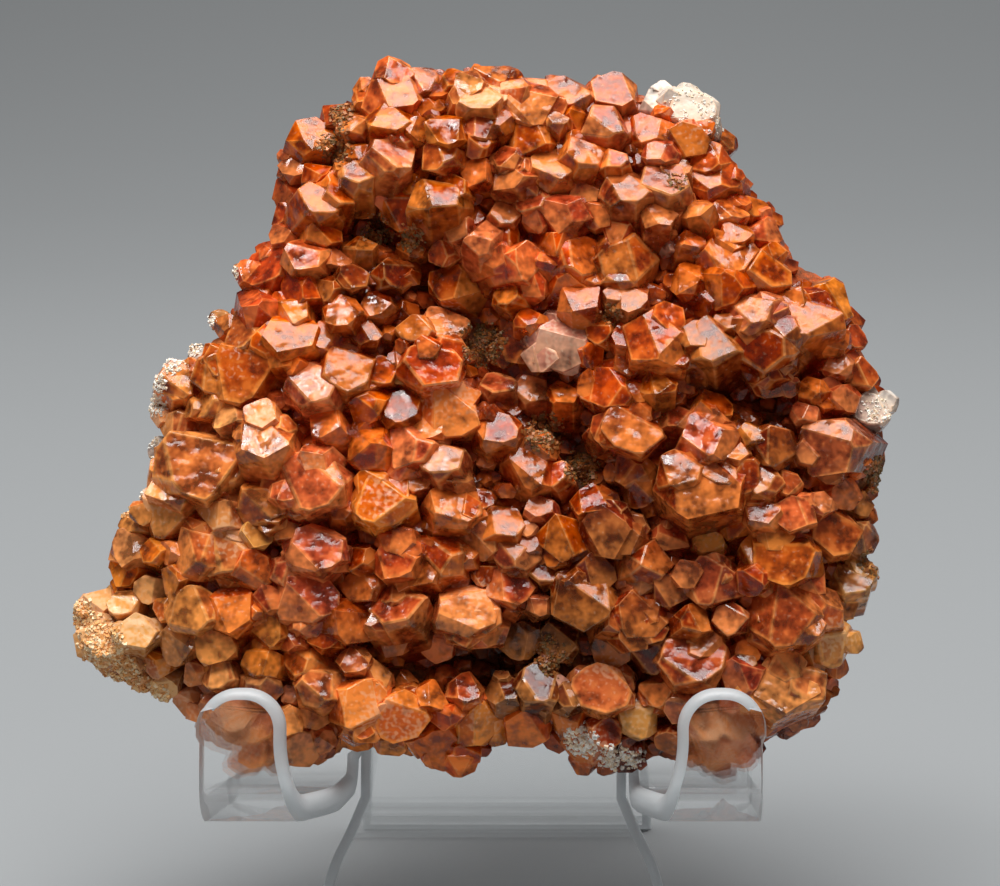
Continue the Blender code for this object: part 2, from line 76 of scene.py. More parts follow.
easel = {
    "sheet": 3.0, "hookReach": 25.3, "hookOuter": 31.2, "hookInner": 21.8,
    "hookSlit": 0.3, "lipSplay": 0.4, "lipTop": -30.6, "lipCorner": 4.5,
    "ledgeTop": -42.8, "flareLip": 3.5, "plateFront": -16.3, "plateHalf": 16.3, "plateTop": 13.0,
    "shoulderHeight": 38.0, "shoulderSweep": 1.5, "foldRadius": 3.5, "lipRadius": 3.2,
    "topRadius": 4.0, "flareFrom": 0.45, "rearFoot": (-60.0, -56.4), "rearFootHalf": 20.4,
    "tableDrop": 22.0,
    "edgeRound": 1.2, "shoulderSteps": 16, "tongueSteps": 28, "topSteps": 24, "bendSteps": 14,
    "ledgeSteps": 16, "lipSteps": 8, "cornerSteps": 14,
    "tongueWidths": [(-73.0, 23.5), (-65.0, 22.6), (-59.0, 21.4), (-54.0, 20.0), (-49.8, 18.0),
                     (-45.8, 16.3)],
}

growth = {
    "faceHeight": 1, "edgeFallWidth": 12, "edgeFallDepth": 7,
    "crustDepth": 2.8, "matrixInset": 0.9, "backDepth": -14.9, "backEdge": -12.6,
    "backRounding": 7, "steadyFrom": 7, "fan": 0.75, "fanSpread": 0.1,
    "crevice": (1, 3.8),  # painted shade in the crevices: the darkening starts this far over the carpet and is full this far below that
    # Earthy patches between the crystals as (right, up, spread, rise)
    "earthPatches": [(0.4, 8.8, 2.7, 2.2), (7.2, -1.6, 2.4, 1.8), (11, -5.8, 2.2, 1.8),
                     (-17, 31.4, 2.2, 1.8), (-16.6, 35.4, 1.6, 1.6), (45.8, -6, 2.4, 1.6),
                     (45.4, -16.8, 1.8, 1.4), (-3.2, 5.2, 1.4, 1.2), (22.4, 27, 1, 1)],
    # Broad swells as (right, up, half width, half height, rise), valleys as (depth, width, route)
    "swells": [(29, -4, 17, 26, 2.6), (-30, -6, 13, 14, 1.2),
               (-9, -35, 9, 5, 2.2), (2, 37, 14, 6, 1.4), (-18, -8, 9, 9, 0.8)],
    "valleys": [
        (3.6, 3.6, [(-13, 22.5), (-9, 20.5), (-4.5, 14.5), (0, 9.5), (4, 5.5), (9.5, -1),
                    (11.5, -6)]),
        (3.4, 3.2, [(-8, -28), (0, -27.5), (7, -27), (12.5, -26.5), (17, -30)]),
        (2.6, 2.4, [(18, -11), (24, -12.8), (30, -13.5)]),
        (2.8, 2.4, [(25.5, 4), (30, 2.4), (35.5, 1.8), (38, 6)])],
}

# Edge of the specimen seen square on, clockwise from the top left corner
outline = [
    (-21.5, 34.8), (-18, 37.8), (-12.5, 40.3), (-6.5, 41.8), (-1, 42.2), (4, 41.2),
    (9, 40.6), (15.5, 40.8), (19.5, 39.2), (25.5, 38.6), (28.3, 35.5), (30.2, 30),
    (34, 26.2), (36.2, 21.8), (38.3, 18.6), (42.5, 17), (44.3, 12.8), (46, 8.8),
    (47.2, 5.5), (47.8, 0), (48.3, -4.5), (47.3, -9.5), (46.9, -13.2), (45.6, -17.5),
    (44.9, -20.5), (44, -24), (42.9, -28.8), (41.7, -32.4), (39.6, -35.4), (36.4, -37.6),
    (33.4, -38.9), (30.8, -41.3), (27.8, -42.4), (24, -41.3), (20.8, -40.9), (17, -41.9),
    (11.4, -41.6), (7.6, -38.4), (2.6, -38.9), (-1.2, -40.6), (-5.2, -41.7), (-8.6, -40.2),
    (-13, -39.7), (-16.8, -39.2), (-19.4, -41.9), (-25.2, -42.3), (-29.8, -39.4), (-33.5, -37.2),
    (-37.5, -33.9), (-42, -32), (-46.2, -29.9), (-48.5, -26.3), (-48, -21.5), (-43.8, -18.7),
    (-43.6, -14.5), (-41, -10), (-38.8, -6), (-39, -2), (-37.6, 2.4), (-36.3, 5.9),
    (-32.7, 9.2), (-30.4, 13.6), (-27.9, 19.4), (-25.2, 24.2), (-23.8, 29.5)]

# Crystals as (right, up, radius), some with the compass direction and slope of their main face, some
# with the name of their colour in the palette below
crystalRows = [
    # Top edge and the band under it
    (-18, 36, 2), (-19.5, 33.5, 2.5, 60, 35), (-22, 30, 2, 120, 30), (-19.3, 29, 1.7, 90, 40),
    (-13.8, 38.3, 2), (-10.5, 38.5, 3, 80, 35), (-7, 40, 2, 70, 35), (-3.5, 40, 1.9),
    (-10.5, 35, 2.5, 90, 35), (-6.8, 33.2, 1.8), (-4, 33, 2.2), (-15.3, 34.5, 1.7),
    (-10, 30.5, 2.6, 60, 38), (-14.3, 28.3, 2, 90, 35), (-5.5, 30, 1.9), (-1, 31, 1.6), (-1.2, 28.3, 2),
    (1, 40.7, 2.2), (3.2, 40.1, 1.5), (-0.5, 37.6, 3.2, 95, 32, "peach"), (5.8, 36.3, 2.8, 90, 12),
    (6.2, 39.2, 1.8), (10, 38.3, 2.6, 100, 35), (8.6, 34.8, 1.6), (11, 34.3, 1.5), (2.3, 34.5, 1.5),
    (0.2, 33.4, 1.8), (5.3, 32.2, 2.2), (8.5, 29.4, 2.7, 80, 30, "pale"), (11.8, 30.6, 2.1),
    (14.5, 34.5, 2.6), (15.5, 38.6, 2.6, 90, 30), (2.8, 28.2, 2.7), (19.3, 34, 2.4),
    (20.8, 37.4, 2, "white"), (24.3, 36.6, 2.7, 70, 25, "white"), (26.8, 34.6, 1.9, "white"),
    (26.5, 28.7, 3.4, 100, 28), (21.2, 27.6, 3.3, 90, 38, "pale"), (15.2, 29.8, 1.7), (16.8, 26.6, 2.5),
    (24, 32.4, 2.3), (28.6, 33, 1.6), (20.3, 31, 1.8),
    # Upper left flank
    (-22.8, 25.3, 2.5), (-18.2, 25.6, 2.8, 60, 35), (-23.8, 21.6, 1.7), (-25.6, 18, 2.7),
    (-20.6, 18.8, 2.4), (-26.8, 14.6, 2.1), (-22, 14.6, 2.2), (-17.8, 21.6, 1.8), (-20.8, 22.3, 1.5),
    (-18.3, 14.8, 1.7), (-16.6, 18.6, 1.5), (-5, 26, 2.8, 90, 35), (-9.2, 24, 2.5), (-3.2, 22, 2),
    (-13.6, 20.3, 1.6), (-8, 20, 1.5), (-5, 19, 1.6), (-9.6, 16.8, 2.2, 30, 35), (-4.4, 15.8, 2.3),
    (-14.8, 16.2, 1.7), (-1, 18.2, 2.2), (-12.2, 13.2, 1.8), (-16.2, 12.2, 2),
    # Upper right flank with its large crystals
    (5.6, 25.3, 2), (2.8, 23.6, 1.7), (8.6, 23.2, 2.5), (11.8, 26, 1.6), (13.3, 23.2, 1.7), (2, 20.8, 2),
    (6, 17.7, 3.2, 20, 35), (2.8, 14.2, 1.8), (12, 18.2, 2.8), (11.5, 13.6, 2.3, 90, 35), (15.4, 21.5, 1.7),
    (18.2, 18.3, 3.3, 30, 35), (20.5, 23.2, 2), (24.6, 24, 1.8), (24.3, 20.4, 1.5), (28.5, 19, 3),
    (17.3, 13.6, 2.1, 90, 30), (23.3, 15.8, 2), (26.6, 14.4, 2.4), (30.6, 12.6, 3.5, 110, 35, "pale"),
    (28.8, 24.2, 2), (31.8, 24.8, 1.6), (33.8, 21.6, 2.1), (33.6, 17.2, 2.6), (37, 12, 4.3, 90, 32),
    (41.6, 14.2, 2.6, "amber"), (41, 9.8, 2.2), (43.6, 9.6, 1.6),
    # Middle left
    (-28.3, 10.4, 2.7, "amber"), (-25, 11, 2.1, 300, 30), (-21.8, 9.8, 3.1, 90, 30),
    (-17.9, 9.4, 2, 90, 35), (-34.3, 5, 2.9, 60, 30, "amber"), (-28.2, 5.3, 4, 100, 18, "pale"),
    (-21.9, 6, 1.5), (-18.7, 4.2, 2.9, 90, 25, "pale"), (-24.4, -1.8, 3.7, 90, 35, "pale"),
    (-32.2, 1.6, 2.1, "honey"), (-29.3, 0.4, 2.2), (-12.8, 10, 1.6), (-14.8, 5.8, 2.9, 70, 28),
    (-11.4, 5.4, 1.8), (-7.6, 10.2, 1.9), (-4.3, 11, 2.4, "pale"), (-5.4, 6.3, 3.5, 70, 20),
    (-9, 1.4, 2.4, 90, 30), (-3.6, 1, 3.9, 80, 12, "pale"), (-9.3, -3.3, 2.8), (-13.9, -3.2, 2.4),
    (-13.6, 0.6, 1.8), (-17.6, -0.8, 1.9), (-9.2, 7.2, 1.5), (-36.9, -0.6, 2.3, "honey"),
    (-38.4, 1.2, 1.3, "white"), (-38.6, -3.4, 1.4, "white"), (-36.6, 4.6, 1.3, "white"),
    (-34.2, 8, 1.2, "white"), (-31.4, 12, 1.2, "cream"), (-28.8, 17.6, 1.1, "cream"),
    # Middle right
    (4, 8.7, 2.5), (5.7, 11.6, 1.6, 90, 35), (9, 8.1, 3.3, 200, 6, "frost"), (13.3, 9.8, 1.6),
    (12.9, 6.9, 1.6), (14, 3.4, 2.7, 140, 25), (1.9, 4.2, 2.1, 90, 40), (5.9, 3.3, 2, 90, 30),
    (9.6, 2.9, 1.8, 90, 40), (1.9, -1.3, 2.4, 90, 30), (17, 9.2, 1.8, 90, 30), (21, 9.4, 4, 60, 25),
    (17, 6.3, 1.9), (20.4, 4, 1.9, 90, 40), (18, 2.9, 1.5), (23.6, 4.2, 1.8), (26.3, 8.8, 3.3, "garnet"),
    (31.2, 7.4, 3.8, "garnet"), (33.6, 4, 2.4, "garnet"), (26.9, 1.5, 2),
    (17.4, -1.3, 3.6, 100, 15, "rose"), (22.4, 0.1, 1.9), (25.5, -2.1, 3, 120, 25, "rose"),
    (28.8, -3.4, 2.4, "rose"), (31.2, -1.8, 1.5, "amber"), (41, 6.4, 1.8), (44.8, 5.4, 1.9),
    (45.4, 1.2, 2.1, 60, 20, "white"), (42.6, 2.2, 1.8), (38.2, 3.6, 1.6), (39.2, -3.6, 3.6, 180, 25),
    (36.8, 0.8, 1.5), (34, -3.6, 2.6, "garnet"), (43.4, -4, 2),
    # Lower left with its honey crystals
    (-36.8, -4.2, 1.9, "honey"), (-38, -7, 1.6, "honey"), (-32.4, -5, 4.9, 90, 20, "honey"),
    (-37.5, -11.2, 3.4, 200, 20, "honey"), (-41, -11.8, 2, "honey"), (-41.6, -14.8, 2.2, "honey"),
    (-37.9, -15.3, 1.7), (-33.9, -15.8, 3, "amber"), (-28.4, -7.2, 1.9), (-24.5, -9.5, 2.7),
    (-22.3, -12.6, 1.7), (-19.6, -7.4, 4.2, 120, 15, "pale"), (-31, -11.2, 2.4, "honey"),
    (-28.9, -15.2, 3.4, 80, 18, "honey"), (-25.3, -13.4, 1.7, "cream"), (-25, -17.2, 2.2),
    (-18.6, -14.8, 2.9, 80, 25), (-11.2, -9.2, 3.9, 100, 18, "amber"), (-15.2, -10, 1.5),
    (-4.4, -4.2, 2.8, 100, 35, "pale"), (-2.4, -9.7, 2.9, 60, 30, "pale"), (-7.3, -7, 1.9),
    (-9.7, -16, 2.7), (-5.1, -15.9, 2.8), (-14.6, -15.9, 1.9), (-0.8, -14.3, 2.3), (-42.4, -18, 2, "amber"),
    (-45.2, -20.9, 2, "cream"), (-41.7, -21.2, 1.7, "cream"), (-47, -23, 1.6, "cream"), (-38.9, -19.9, 1.8),
    (-35.8, -18.9, 1.7), (-36.9, -22.2, 1.6), (-39.3, -24.4, 2.2, 60, 25, "cream"),
    (-43.8, -25.4, 2.3, 120, 25, "cream"), (-47, -26.3, 1.7, "cream"), (-35.2, -26.3, 2.4, "honey"),
    (-33, -21.9, 2.6, "honey"), (-38.2, -28.8, 1.7, "amber"), (-41.2, -28.6, 1.6, "cream"),
    (-40.4, -31, 1.5, "cream"), (-37, -31.6, 1.6, "cream"), (-33.8, -29.6, 1.6),
    (-44.5, -28.9, 1.6, "cream"),
    # Lower middle
    (-28.4, -21.8, 2.8, 90, 18, "pale"), (-30.4, -25.8, 2.4, "honey"), (-30.2, -29.3, 1.8, "honey"),
    (-24.9, -24.4, 2.1), (-25.4, -28, 2.1), (-19.3, -20.1, 3.1), (-23.4, -20.6, 1.8), (-21.4, -24.6, 1.8),
    (-17.7, -24.6, 2.1), (-21.4, -28.2, 1.9), (-17.9, -30.2, 2.4, 70, 25), (-24.2, -31.4, 1.8),
    (-14, -19.4, 2.1), (-9.5, -21.4, 3, 110, 35), (-14, -23.6, 2.5), (-10.2, -25.6, 2.2),
    (-0.9, -21.8, 3.9, 60, 20, "amber"), (-5.6, -26.2, 2.4), (-14.3, -27.6, 1.8), (-11.2, -29.2, 1.8),
    (-12.8, -33, 3.1, "amber"), (-8.9, -34.6, 3.4, "amber"), (-4.9, -31.6, 1.9), (-1.4, -30.9, 1.9),
    (6.2, -5.3, 2.9, 80, 30), (9.2, -7, 1.6), (12.6, -3, 1.6), (16.5, -5.8, 2), (12.8, -9.4, 2.4, 100, 40),
    (6.8, -10, 1.7, 90, 35), (2.5, -11.8, 2.3, 90, 35), (8.9, -13.9, 2.5, 170, 12),
    (14.4, -13.2, 2.8, 180, 12), (4, -15.4, 2.1), (7.6, -17.4, 1.9, 90, 20), (13.6, -18, 2.2, 10, 16),
    (3.7, -19.3, 2.3), (11.1, -21.4, 3.5, 200, 14), (7, -21.4, 1.5), (4.2, -25.8, 2.3, "smoke"),
    (8.7, -25.7, 2.4, "smoke"), (14.8, -26.2, 2.6, 230, 12), (14, -31, 3.1, 100, 20, "pale"),
    (6.9, -30.3, 2.6), (2.9, -30.9, 2), (10.5, -31.6, 1.6), (0.5, -18, 1.6),
    # Lower right with its large crystals
    (25, -7.6, 4.9, 100, 20, "rose"), (28.8, -12, 1.9), (17.8, -8.8, 2.1), (22.3, -13.4, 2),
    (26, -14, 1.9, "cream"), (20.3, -16.1, 2.4), (17.7, -18.3, 2.1), (25.8, -18.6, 2.9), (31.9, -7.2, 1.8),
    (35, -7.4, 1.6), (32, -10.4, 2.1, 110, 30), (35.6, -11, 2.1), (38.7, -9.8, 1.7), (41.6, -9, 1.9),
    (44.4, -10, 1.5, "honey"), (40.6, -13.3, 2.8), (45, -14, 2, "honey"), (34.5, -15.8, 3.9, 120, 15),
    (38.6, -18.6, 2), (42.8, -18.6, 2.3, 90, 25, "cream"), (21.8, -19.8, 2.1), (18.2, -22.6, 3, 30, 12),
    (25.2, -22.8, 1.8), (24.2, -27, 4, 90, 25), (19.2, -27, 2.4, "smoke"), (28.4, -23, 1.9),
    (30.3, -19, 1.9), (28.8, -30.3, 2.6), (20, -31.4, 2), (35, -22, 4.3, 60, 18),
    (40.8, -26.2, 3.2, "cream"), (42.2, -21.9, 1.8, "cream"), (34.6, -30.7, 3.8, 80, 20, "peach"),
    (38.6, -31.8, 2.2, "garnet"), (30.4, -26.9, 1.6),
    # Bottom edge, and what shows through the two hooks
    (-22, -35, 1.8), (-20.4, -38.2, 2.4), (-19, -34.4, 1.7), (-14.8, -37.6, 1.8), (-10.8, -38.3, 1.8),
    (-7.6, -38.4, 1.7), (-4.2, -38.4, 2.9), (0.3, -35.5, 3.2, "amber"), (-4.6, -34.6, 1.6), (5.2, -36, 2.7),
    (9.3, -35.2, 2.2), (11.2, -38.6, 2.5), (18.2, -34.9, 2.3, "cream"), (21.9, -37.6, 1.9),
    (14.6, -36.2, 1.8), (22.6, -33.8, 1.8, "peach"), (-31.4, -34.2, 2.1, "peach"),
    (-28.2, -33.8, 2.1, "peach"), (-25.6, -35, 2.1), (-30.2, -37.2, 1.9), (-26.9, -38.6, 2.2, "peach"),
    (-24, -40.2, 1.6), (-35, -33.4, 1.6), (25.8, -35, 2.3, "peach"), (29.2, -34.8, 2.4),
    (26.2, -38.8, 2.3, "peach"), (30, -38.3, 2.3), (33, -35.2, 2.1), (36.4, -35, 2.1),
    # Small ones that catch the light
    (-11.3, 24.8, 1.2), (-13.5, 24.2, 1), (11, 24.5, 0.9, "honey"), (22.3, 19.8, 1.1, "frost"),
    (24.8, 19, 0.8, "frost"), (-9.3, 8.1, 0.9), (-10, 7, 0.9), (-8.7, 4.8, 1.3, "cream"), (15.3, 9, 1),
    (5.4, -12.8, 1, "peach"), (3.2, -8.6, 0.9), (14.2, -3.5, 0.7, "frost"), (22, -23, 1),
    (9.3, -30.3, 0.8, "frost"), (34.3, -17.3, 0.9, "cream"), (30.4, -27.6, 1.2, "smoke"),
    (36.7, -12.3, 0.9, "frost"), (41.6, -29.2, 1.4), (40.7, -31.4, 1.1)]

# Base colours of the calcite, each as red, green, blue
palette = {
    "orange": (0.92, 0.140, 0.006), "flame": (0.95, 0.180, 0.014), "brick": (0.64, 0.090, 0.005),
    "garnet": (0.40, 0.052, 0.003), "rose": (0.70, 0.135, 0.026), "smoke": (0.26, 0.054, 0.014),
    "ember": (0.78, 0.105, 0.004), "amber": (0.96, 0.240, 0.022), "honey": (0.97, 0.330, 0.072),
    "cream": (0.96, 0.430, 0.105), "peach": (0.95, 0.290, 0.080), "pale": (0.95, 0.210, 0.036),
    "frost": (0.95, 0.480, 0.320), "white": (0.96, 0.900, 0.800),
}

# Middles of the colour zones for crystals with no name of their own: right, up, colour
zones = [(-12, 36, "flame"), (12, 36, "flame"), (-22, 26, "orange"), (0, 22, "orange"), (24, 30, "orange"),
         (20, 12, "orange"), (38, 18, "orange"), (30, 2, "brick"), (41, 3, "orange"), (-10, 14, "brick"),
         (-22, 6, "orange"), (-8, 0, "orange"), (-38, 2, "honey"), (-32, -10, "amber"), (-44, -24, "cream"),
         (-30, -24, "amber"), (-20, -18, "ember"), (-10, -20, "ember"), (-12, -32, "amber"),
         (2, -12, "brick"), (12, -22, "garnet"), (6, -28, "smoke"), (24, -14, "brick"), (38, -10, "pale"),
         (26, -28, "brick"), (37, -24, "pale"), (44, -14, "amber"), (14, -38, "brick"), (30, -36, "rose"),
         (-28, -36, "peach"), (0, -36, "orange")]


# Small helpers

def clamp(value, low=0.0, high=1.0):
    return min(max(value, low), high)


def evaluated(piece):
    return piece.evaluated_get(bpy.context.evaluated_depsgraph_get())


def pieceFrom(bm, name, group=None):  # the finished faces as an object
    mesh = bpy.data.meshes.new(name)
    bm.to_mesh(mesh)
    bm.free()
    piece = bpy.data.objects.new(name, mesh)
    (group or bpy.context.scene.collection).objects.link(piece)
    return piece


def writeLayer(mesh, name, kind, domain, values):  # values that the materials read
    layer = mesh.attributes.new(name, kind, domain)
    layer.data.foreach_set("color" if kind == "FLOAT_COLOR" else "value", values)


# Growth of the specimen

def distanceToRoute(point, route):
    nearest = math.inf
    for start, end in zip(route, route[1:]):
        foot, share = geometry.intersect_point_line(point, Vector(start), Vector(end))
        foot = Vector(start).lerp(Vector(end), clamp(share))
        nearest = min(nearest, (foot - point).length)
    return nearest


def insideOutline(point):
    crossings = 0
    for (x1, y1), (x2, y2) in zip(outline, outline[1:] + outline[:1]):
        if (y1 > point.y) != (y2 > point.y):
            crossings += point.x < x1 + (point.y - y1) * (x2 - x1) / (y2 - y1)
    return crossings % 2 == 1


def edgeDistance(point):
    distance = distanceToRoute(point, outline + outline[:1])
    return distance if insideOutline(point) else -distance


def relief(u, v):  # height of the crystal carpet over the face plane
    point = Vector((u, v))
    shore = clamp(edgeDistance(point) / growth["edgeFallWidth"])
    height = growth["faceHeight"] - growth["edgeFallDepth"] * (1.0 - shore) ** 2
    for centreU, centreV, halfU, halfV, rise in growth["swells"]:
        height += rise * math.exp(-((u - centreU) / halfU) ** 2 - ((v - centreV) / halfV) ** 2)
    for depth, width, route in growth["valleys"]:
        height -= depth * math.exp(-(distanceToRoute(point, route) / width) ** 2)
    return height


def growthDirection(u, v, dice):  # crystals stand square to the carpet, so they fan outwards
    fan, spread, step = growth["fan"], growth["fanSpread"], 1.0
    slopeU = (relief(u + step, v) - relief(u - step, v)) / (2.0 * step)
    slopeV = (relief(u, v + step) - relief(u, v - step)) / (2.0 * step)
    leanU = -fan * slopeU + dice.gauss(0.0, spread)
    leanV = -fan * slopeV + dice.gauss(0.0, spread)
    return Vector((leanU, leanV, 1.0)).normalized()


def zoneColour(u, v):
    nearest = min(zones, key=lambda zone: (zone[0] - u) ** 2 + (zone[1] - v) ** 2)
    return nearest[2]


tintSpread = {"hue": 0.005, "saturation": (0.94, 1.03), "value": (0.68, 1.12)}


def crystalTint(name, dice):
    tint = Color(palette[name])
    tint.h = (tint.h + dice.uniform(-tintSpread["hue"], tintSpread["hue"])) % 1.0
    tint.s = min(1.0, tint.s * dice.uniform(*tintSpread["saturation"]))
    tint.v = min(1.0, tint.v * dice.uniform(*tintSpread["value"]))
    return (*tint, 1.0)


def faceDirection(azimuth, slope):
    side = math.sin(slope)
    return Vector((side * math.cos(azimuth), side * math.sin(azimuth), math.cos(slope)))


def cutTop(bm, azimuth, slope, depth):  # one rhomb face, whose plane crosses the axis below the top
    normal = faceDirection(azimuth, slope)
    parts = bm.verts[:] + bm.edges[:] + bm.faces[:]
    cut = bmesh.ops.bisect_plane(bm, geom=parts, plane_co=(0.0, 0.0, -depth), plane_no=normal,
                                 clear_outer=True)
    rim = [item for item in cut["geom_cut"] if isinstance(item, bmesh.types.BMEdge)]
    bmesh.ops.edgeloop_fill(bm, edges=rim)


# One crystal: lengths in shares of its radius, apart from edgeLeast and the radii that things start
# from, and angles in degrees
crystalLook = {
    "body": 2.6, "girth": 1.12, "sides": (5, 6, 6, 6, 7), "wide": (1.0, 1.2), "narrow": (0.8, 1.0),
    "endTilt": 9.0, "shoulder": {"sway": 16.0, "tilt": (62.0, 82.0), "reach": (0.72, 0.98)},
    "chips": (1, 2, 2, 3, 3), "chip": {"sway": 20.0, "tilt": (32.0, 54.0), "reach": (0.3, 0.72)},
    "chipTurn": 137.0,
    "edgeRound": 0.05, "edgeLeast": 0.07, "coredFrom": 1.75, "rimWidth": 0.24, "rimLeast": 0.05,
    "rimMost": 0.45, "rimFill": 0.8, "coredDepth": 1.5, "litReach": 1.8,
    "swell": 1.12, "largeFrom": 3.2, "sideGrowthFrom": 2.2, "steppedFrom": 3.0, "sideSway": 0.16,
}

sideGrowth = {
    "stepped": {"count": (3, 4, 5), "size": (0.45, 0.72), "reach": (0.4, 0.8), "drop": (0.0, 0.45)},
    "plain": {"count": (1, 2, 3, 3), "size": (0.42, 0.66), "reach": (0.62, 0.9), "drop": (0.25, 0.75)},
}


def cutShoulder(bm, radius, turn, kind, dice):
    around = math.radians(turn + dice.uniform(-kind["sway"], kind["sway"]))
    tilt = math.radians(dice.uniform(*kind["tilt"]))
    cutTop(bm, around, tilt, -radius * dice.uniform(*kind["reach"]) * math.tan(tilt))


def crystalMesh(radius, dice):  # a stubby prism along z with its worn end face at the top
    body, girth = radius * crystalLook["body"], radius * crystalLook["girth"]
    bm = bmesh.new()
    bmesh.ops.create_cone(bm, cap_ends=True, segments=dice.choice(crystalLook["sides"]), radius1=girth,
                          radius2=girth, depth=body + radius,
                          matrix=Matrix.Translation((0.0, 0.0, (radius - body) / 2.0)))
    turn = Matrix.Rotation(dice.uniform(0.0, math.pi), 4, "Z")
    squash = Matrix.Diagonal((dice.uniform(*crystalLook["wide"]), dice.uniform(*crystalLook["narrow"]),
                              1.0, 1.0))
    bmesh.ops.transform(bm, matrix=squash @ turn, verts=bm.verts)
    azimuth = dice.uniform(0.0, 2.0 * math.pi)
    cutTop(bm, azimuth, math.radians(dice.uniform(0.0, crystalLook["endTilt"])), 0.0)
    first = dice.uniform(0.0, 60.0)
    for side in range(6):
        cutShoulder(bm, radius, first + 60.0 * side, crystalLook["shoulder"], dice)
    for side in range(dice.choice(crystalLook["chips"])):
        cutShoulder(bm, radius, first + 30.0 + crystalLook["chipTurn"] * side, crystalLook["chip"], dice)
    return bm


def roundEdges(bm, radius):
    width = max(crystalLook["edgeRound"] * radius, crystalLook["edgeLeast"])
    return bmesh.ops.bevel(bm, geom=bm.edges[:], offset=width, segments=1, affect="EDGES",
                           profile=0.5, clamp_overlap=True)["faces"]


def insetCores(bm, rims, radius):  # a band along the edges of each larger face, round its core
    least = crystalLook["rimLeast"] * radius
    inner = set()
    for face in [item for item in bm.faces if item not in rims]:
        sides = [edge.calc_length() for edge in face.edges]
        if min(sides) < least:
            continue
        width = min(crystalLook["rimWidth"] * radius, crystalLook["rimMost"] * min(sides),
                    crystalLook["rimFill"] * face.calc_area() / sum(sides))
        if width < least or face.calc_center_median().z < -crystalLook["coredDepth"] * radius:
            continue
        bmesh.ops.inset_individual(bm, faces=[face], thickness=width, use_even_offset=True)
        inner.update(face.verts)
    return inner


# Where fine sugary calcite has grown over the crystals: right, up, spread
sugared = [(-11.2, -9.2, 3.6), (-0.9, -21.2, 3.8), (-12.8, -33, 3.4), (-8.9, -34.6, 3.6),
           (-28.6, -14, 3.2), (-28.4, -21.6, 2.8), (-32.4, -3.4, 3.4), (-28.2, 5.8, 3.2),
           (-3.4, 1.6, 4.2), (-19.6, -6.6, 3), (-24.4, -1, 2.6), (14, -30.4, 3.4),
           (-4.3, 11.4, 2.6), (-39.3, -24, 3.6), (-44.6, -25, 5.5), (-46.8, -22, 4),
           (-41, -30.4, 4.6), (-36.4, -31.6, 3.6), (-29, -36, 5), (28.4, -37, 5.4),
           (0.3, -35, 3), (40.8, -25.6, 3), (26, -13.6, 2.2), (9, 8.6, 3.6),
           (24.4, 36.8, 4.8), (45.6, 1.2, 2.6), (12.4, -38, 3.4), (18.2, -34.6, 2.8),
           (-38.4, 0.4, 3), (-38.8, -8.4, 2.6), (-21.8, 10.2, 2.2), (2, 37.6, 2.2)]


def sugarAt(point):
    most = 0.0
    for u, v, spread in sugared:
        most = max(most, 1.0 - math.hypot(point.x - u, point.y - v) / spread)
    return min(1.0, 1.8 * most)


def crystalPiece(name, bm, tint, radius, place, aim, group):
    rims = set(roundEdges(bm, radius))
    cored = radius > crystalLook["coredFrom"]
    inner = insetCores(bm, rims, radius) if cored else set()
    edgeMarks = [float(face in rims) for face in bm.faces]
    turn = Vector((0.0, 0.0, 1.0)).rotation_difference(aim).to_matrix().to_4x4()
    bmesh.ops.transform(bm, matrix=Matrix.Translation(place) @ turn, verts=bm.verts)
    # Painted shade: corners lying deeper below the carpet are marked darker in the crevice layer
    startsAbove, fullBelow = growth["crevice"]
    carpet = relief(place.x, place.y) + startsAbove
    layers = {"paintedCreviceShade": [], "sugar": [], "paintedLowGlow": [], "core": []}
    for corner in [loop for face in bm.faces for loop in face.loops]:
        spot = corner.vert.co
        layers["paintedCreviceShade"].append(clamp((carpet - spot.z) / fullBelow))
        layers["sugar"].append(sugarAt(spot))
        # Painted glow: the lower side of each crystal is marked for a paler colour
        layers["paintedLowGlow"].append(clamp(0.5 - (spot.y - place.y) / (crystalLook["litReach"] * radius)))
        layers["core"].append(float(corner.vert in inner) if cored else 0.5)
    piece = pieceFrom(bm, name, group)
    writeLayer(piece.data, "tint", "FLOAT_COLOR", "FACE", list(tint) * len(piece.data.polygons))
    writeLayer(piece.data, "edgeMark", "FLOAT", "FACE", edgeMarks)
    for layer, values in layers.items():
        writeLayer(piece.data, layer, "FLOAT", "CORNER", values)
    return piece


def crystalAim(u, v, azimuth, slope, dice):  # the way that the end face looks
    shore = clamp(edgeDistance(Vector((u, v))) / growth["steadyFrom"], 0.15)
    lean = math.tan(slope) * shore
    outwards = growthDirection(u, v, dice)
    return (outwards + Vector((math.cos(azimuth), math.sin(azimuth), 0.0)) * lean * outwards.z).normalized()


# How a crystal faces, in compass degrees and spread, the slope of its end and how far its tip stands out
habits = {
    "listed": {"facing": (95.0, 55.0), "slope": (14.0, 38.0), "sink": 0.0, "stands": 0.55,
               "uneven": (-0.8, 0.6)},
    "filler": {"facing": (95.0, 60.0), "slope": (10.0, 40.0), "sink": 1.7, "stands": 0.5,
               "uneven": (-0.7, 0.7)},
}


def drawAim(u, v, habit, dice):
    azimuth = math.radians(dice.gauss(*habit["facing"]))
    return crystalAim(u, v, azimuth, math.radians(dice.uniform(*habit["slope"])), dice)


def drawPlace(u, v, radius, habit, dice):
    out = habit["stands"] * radius
    return Vector((u, v, relief(u, v) - habit["sink"] + out + dice.uniform(*habit["uneven"])))


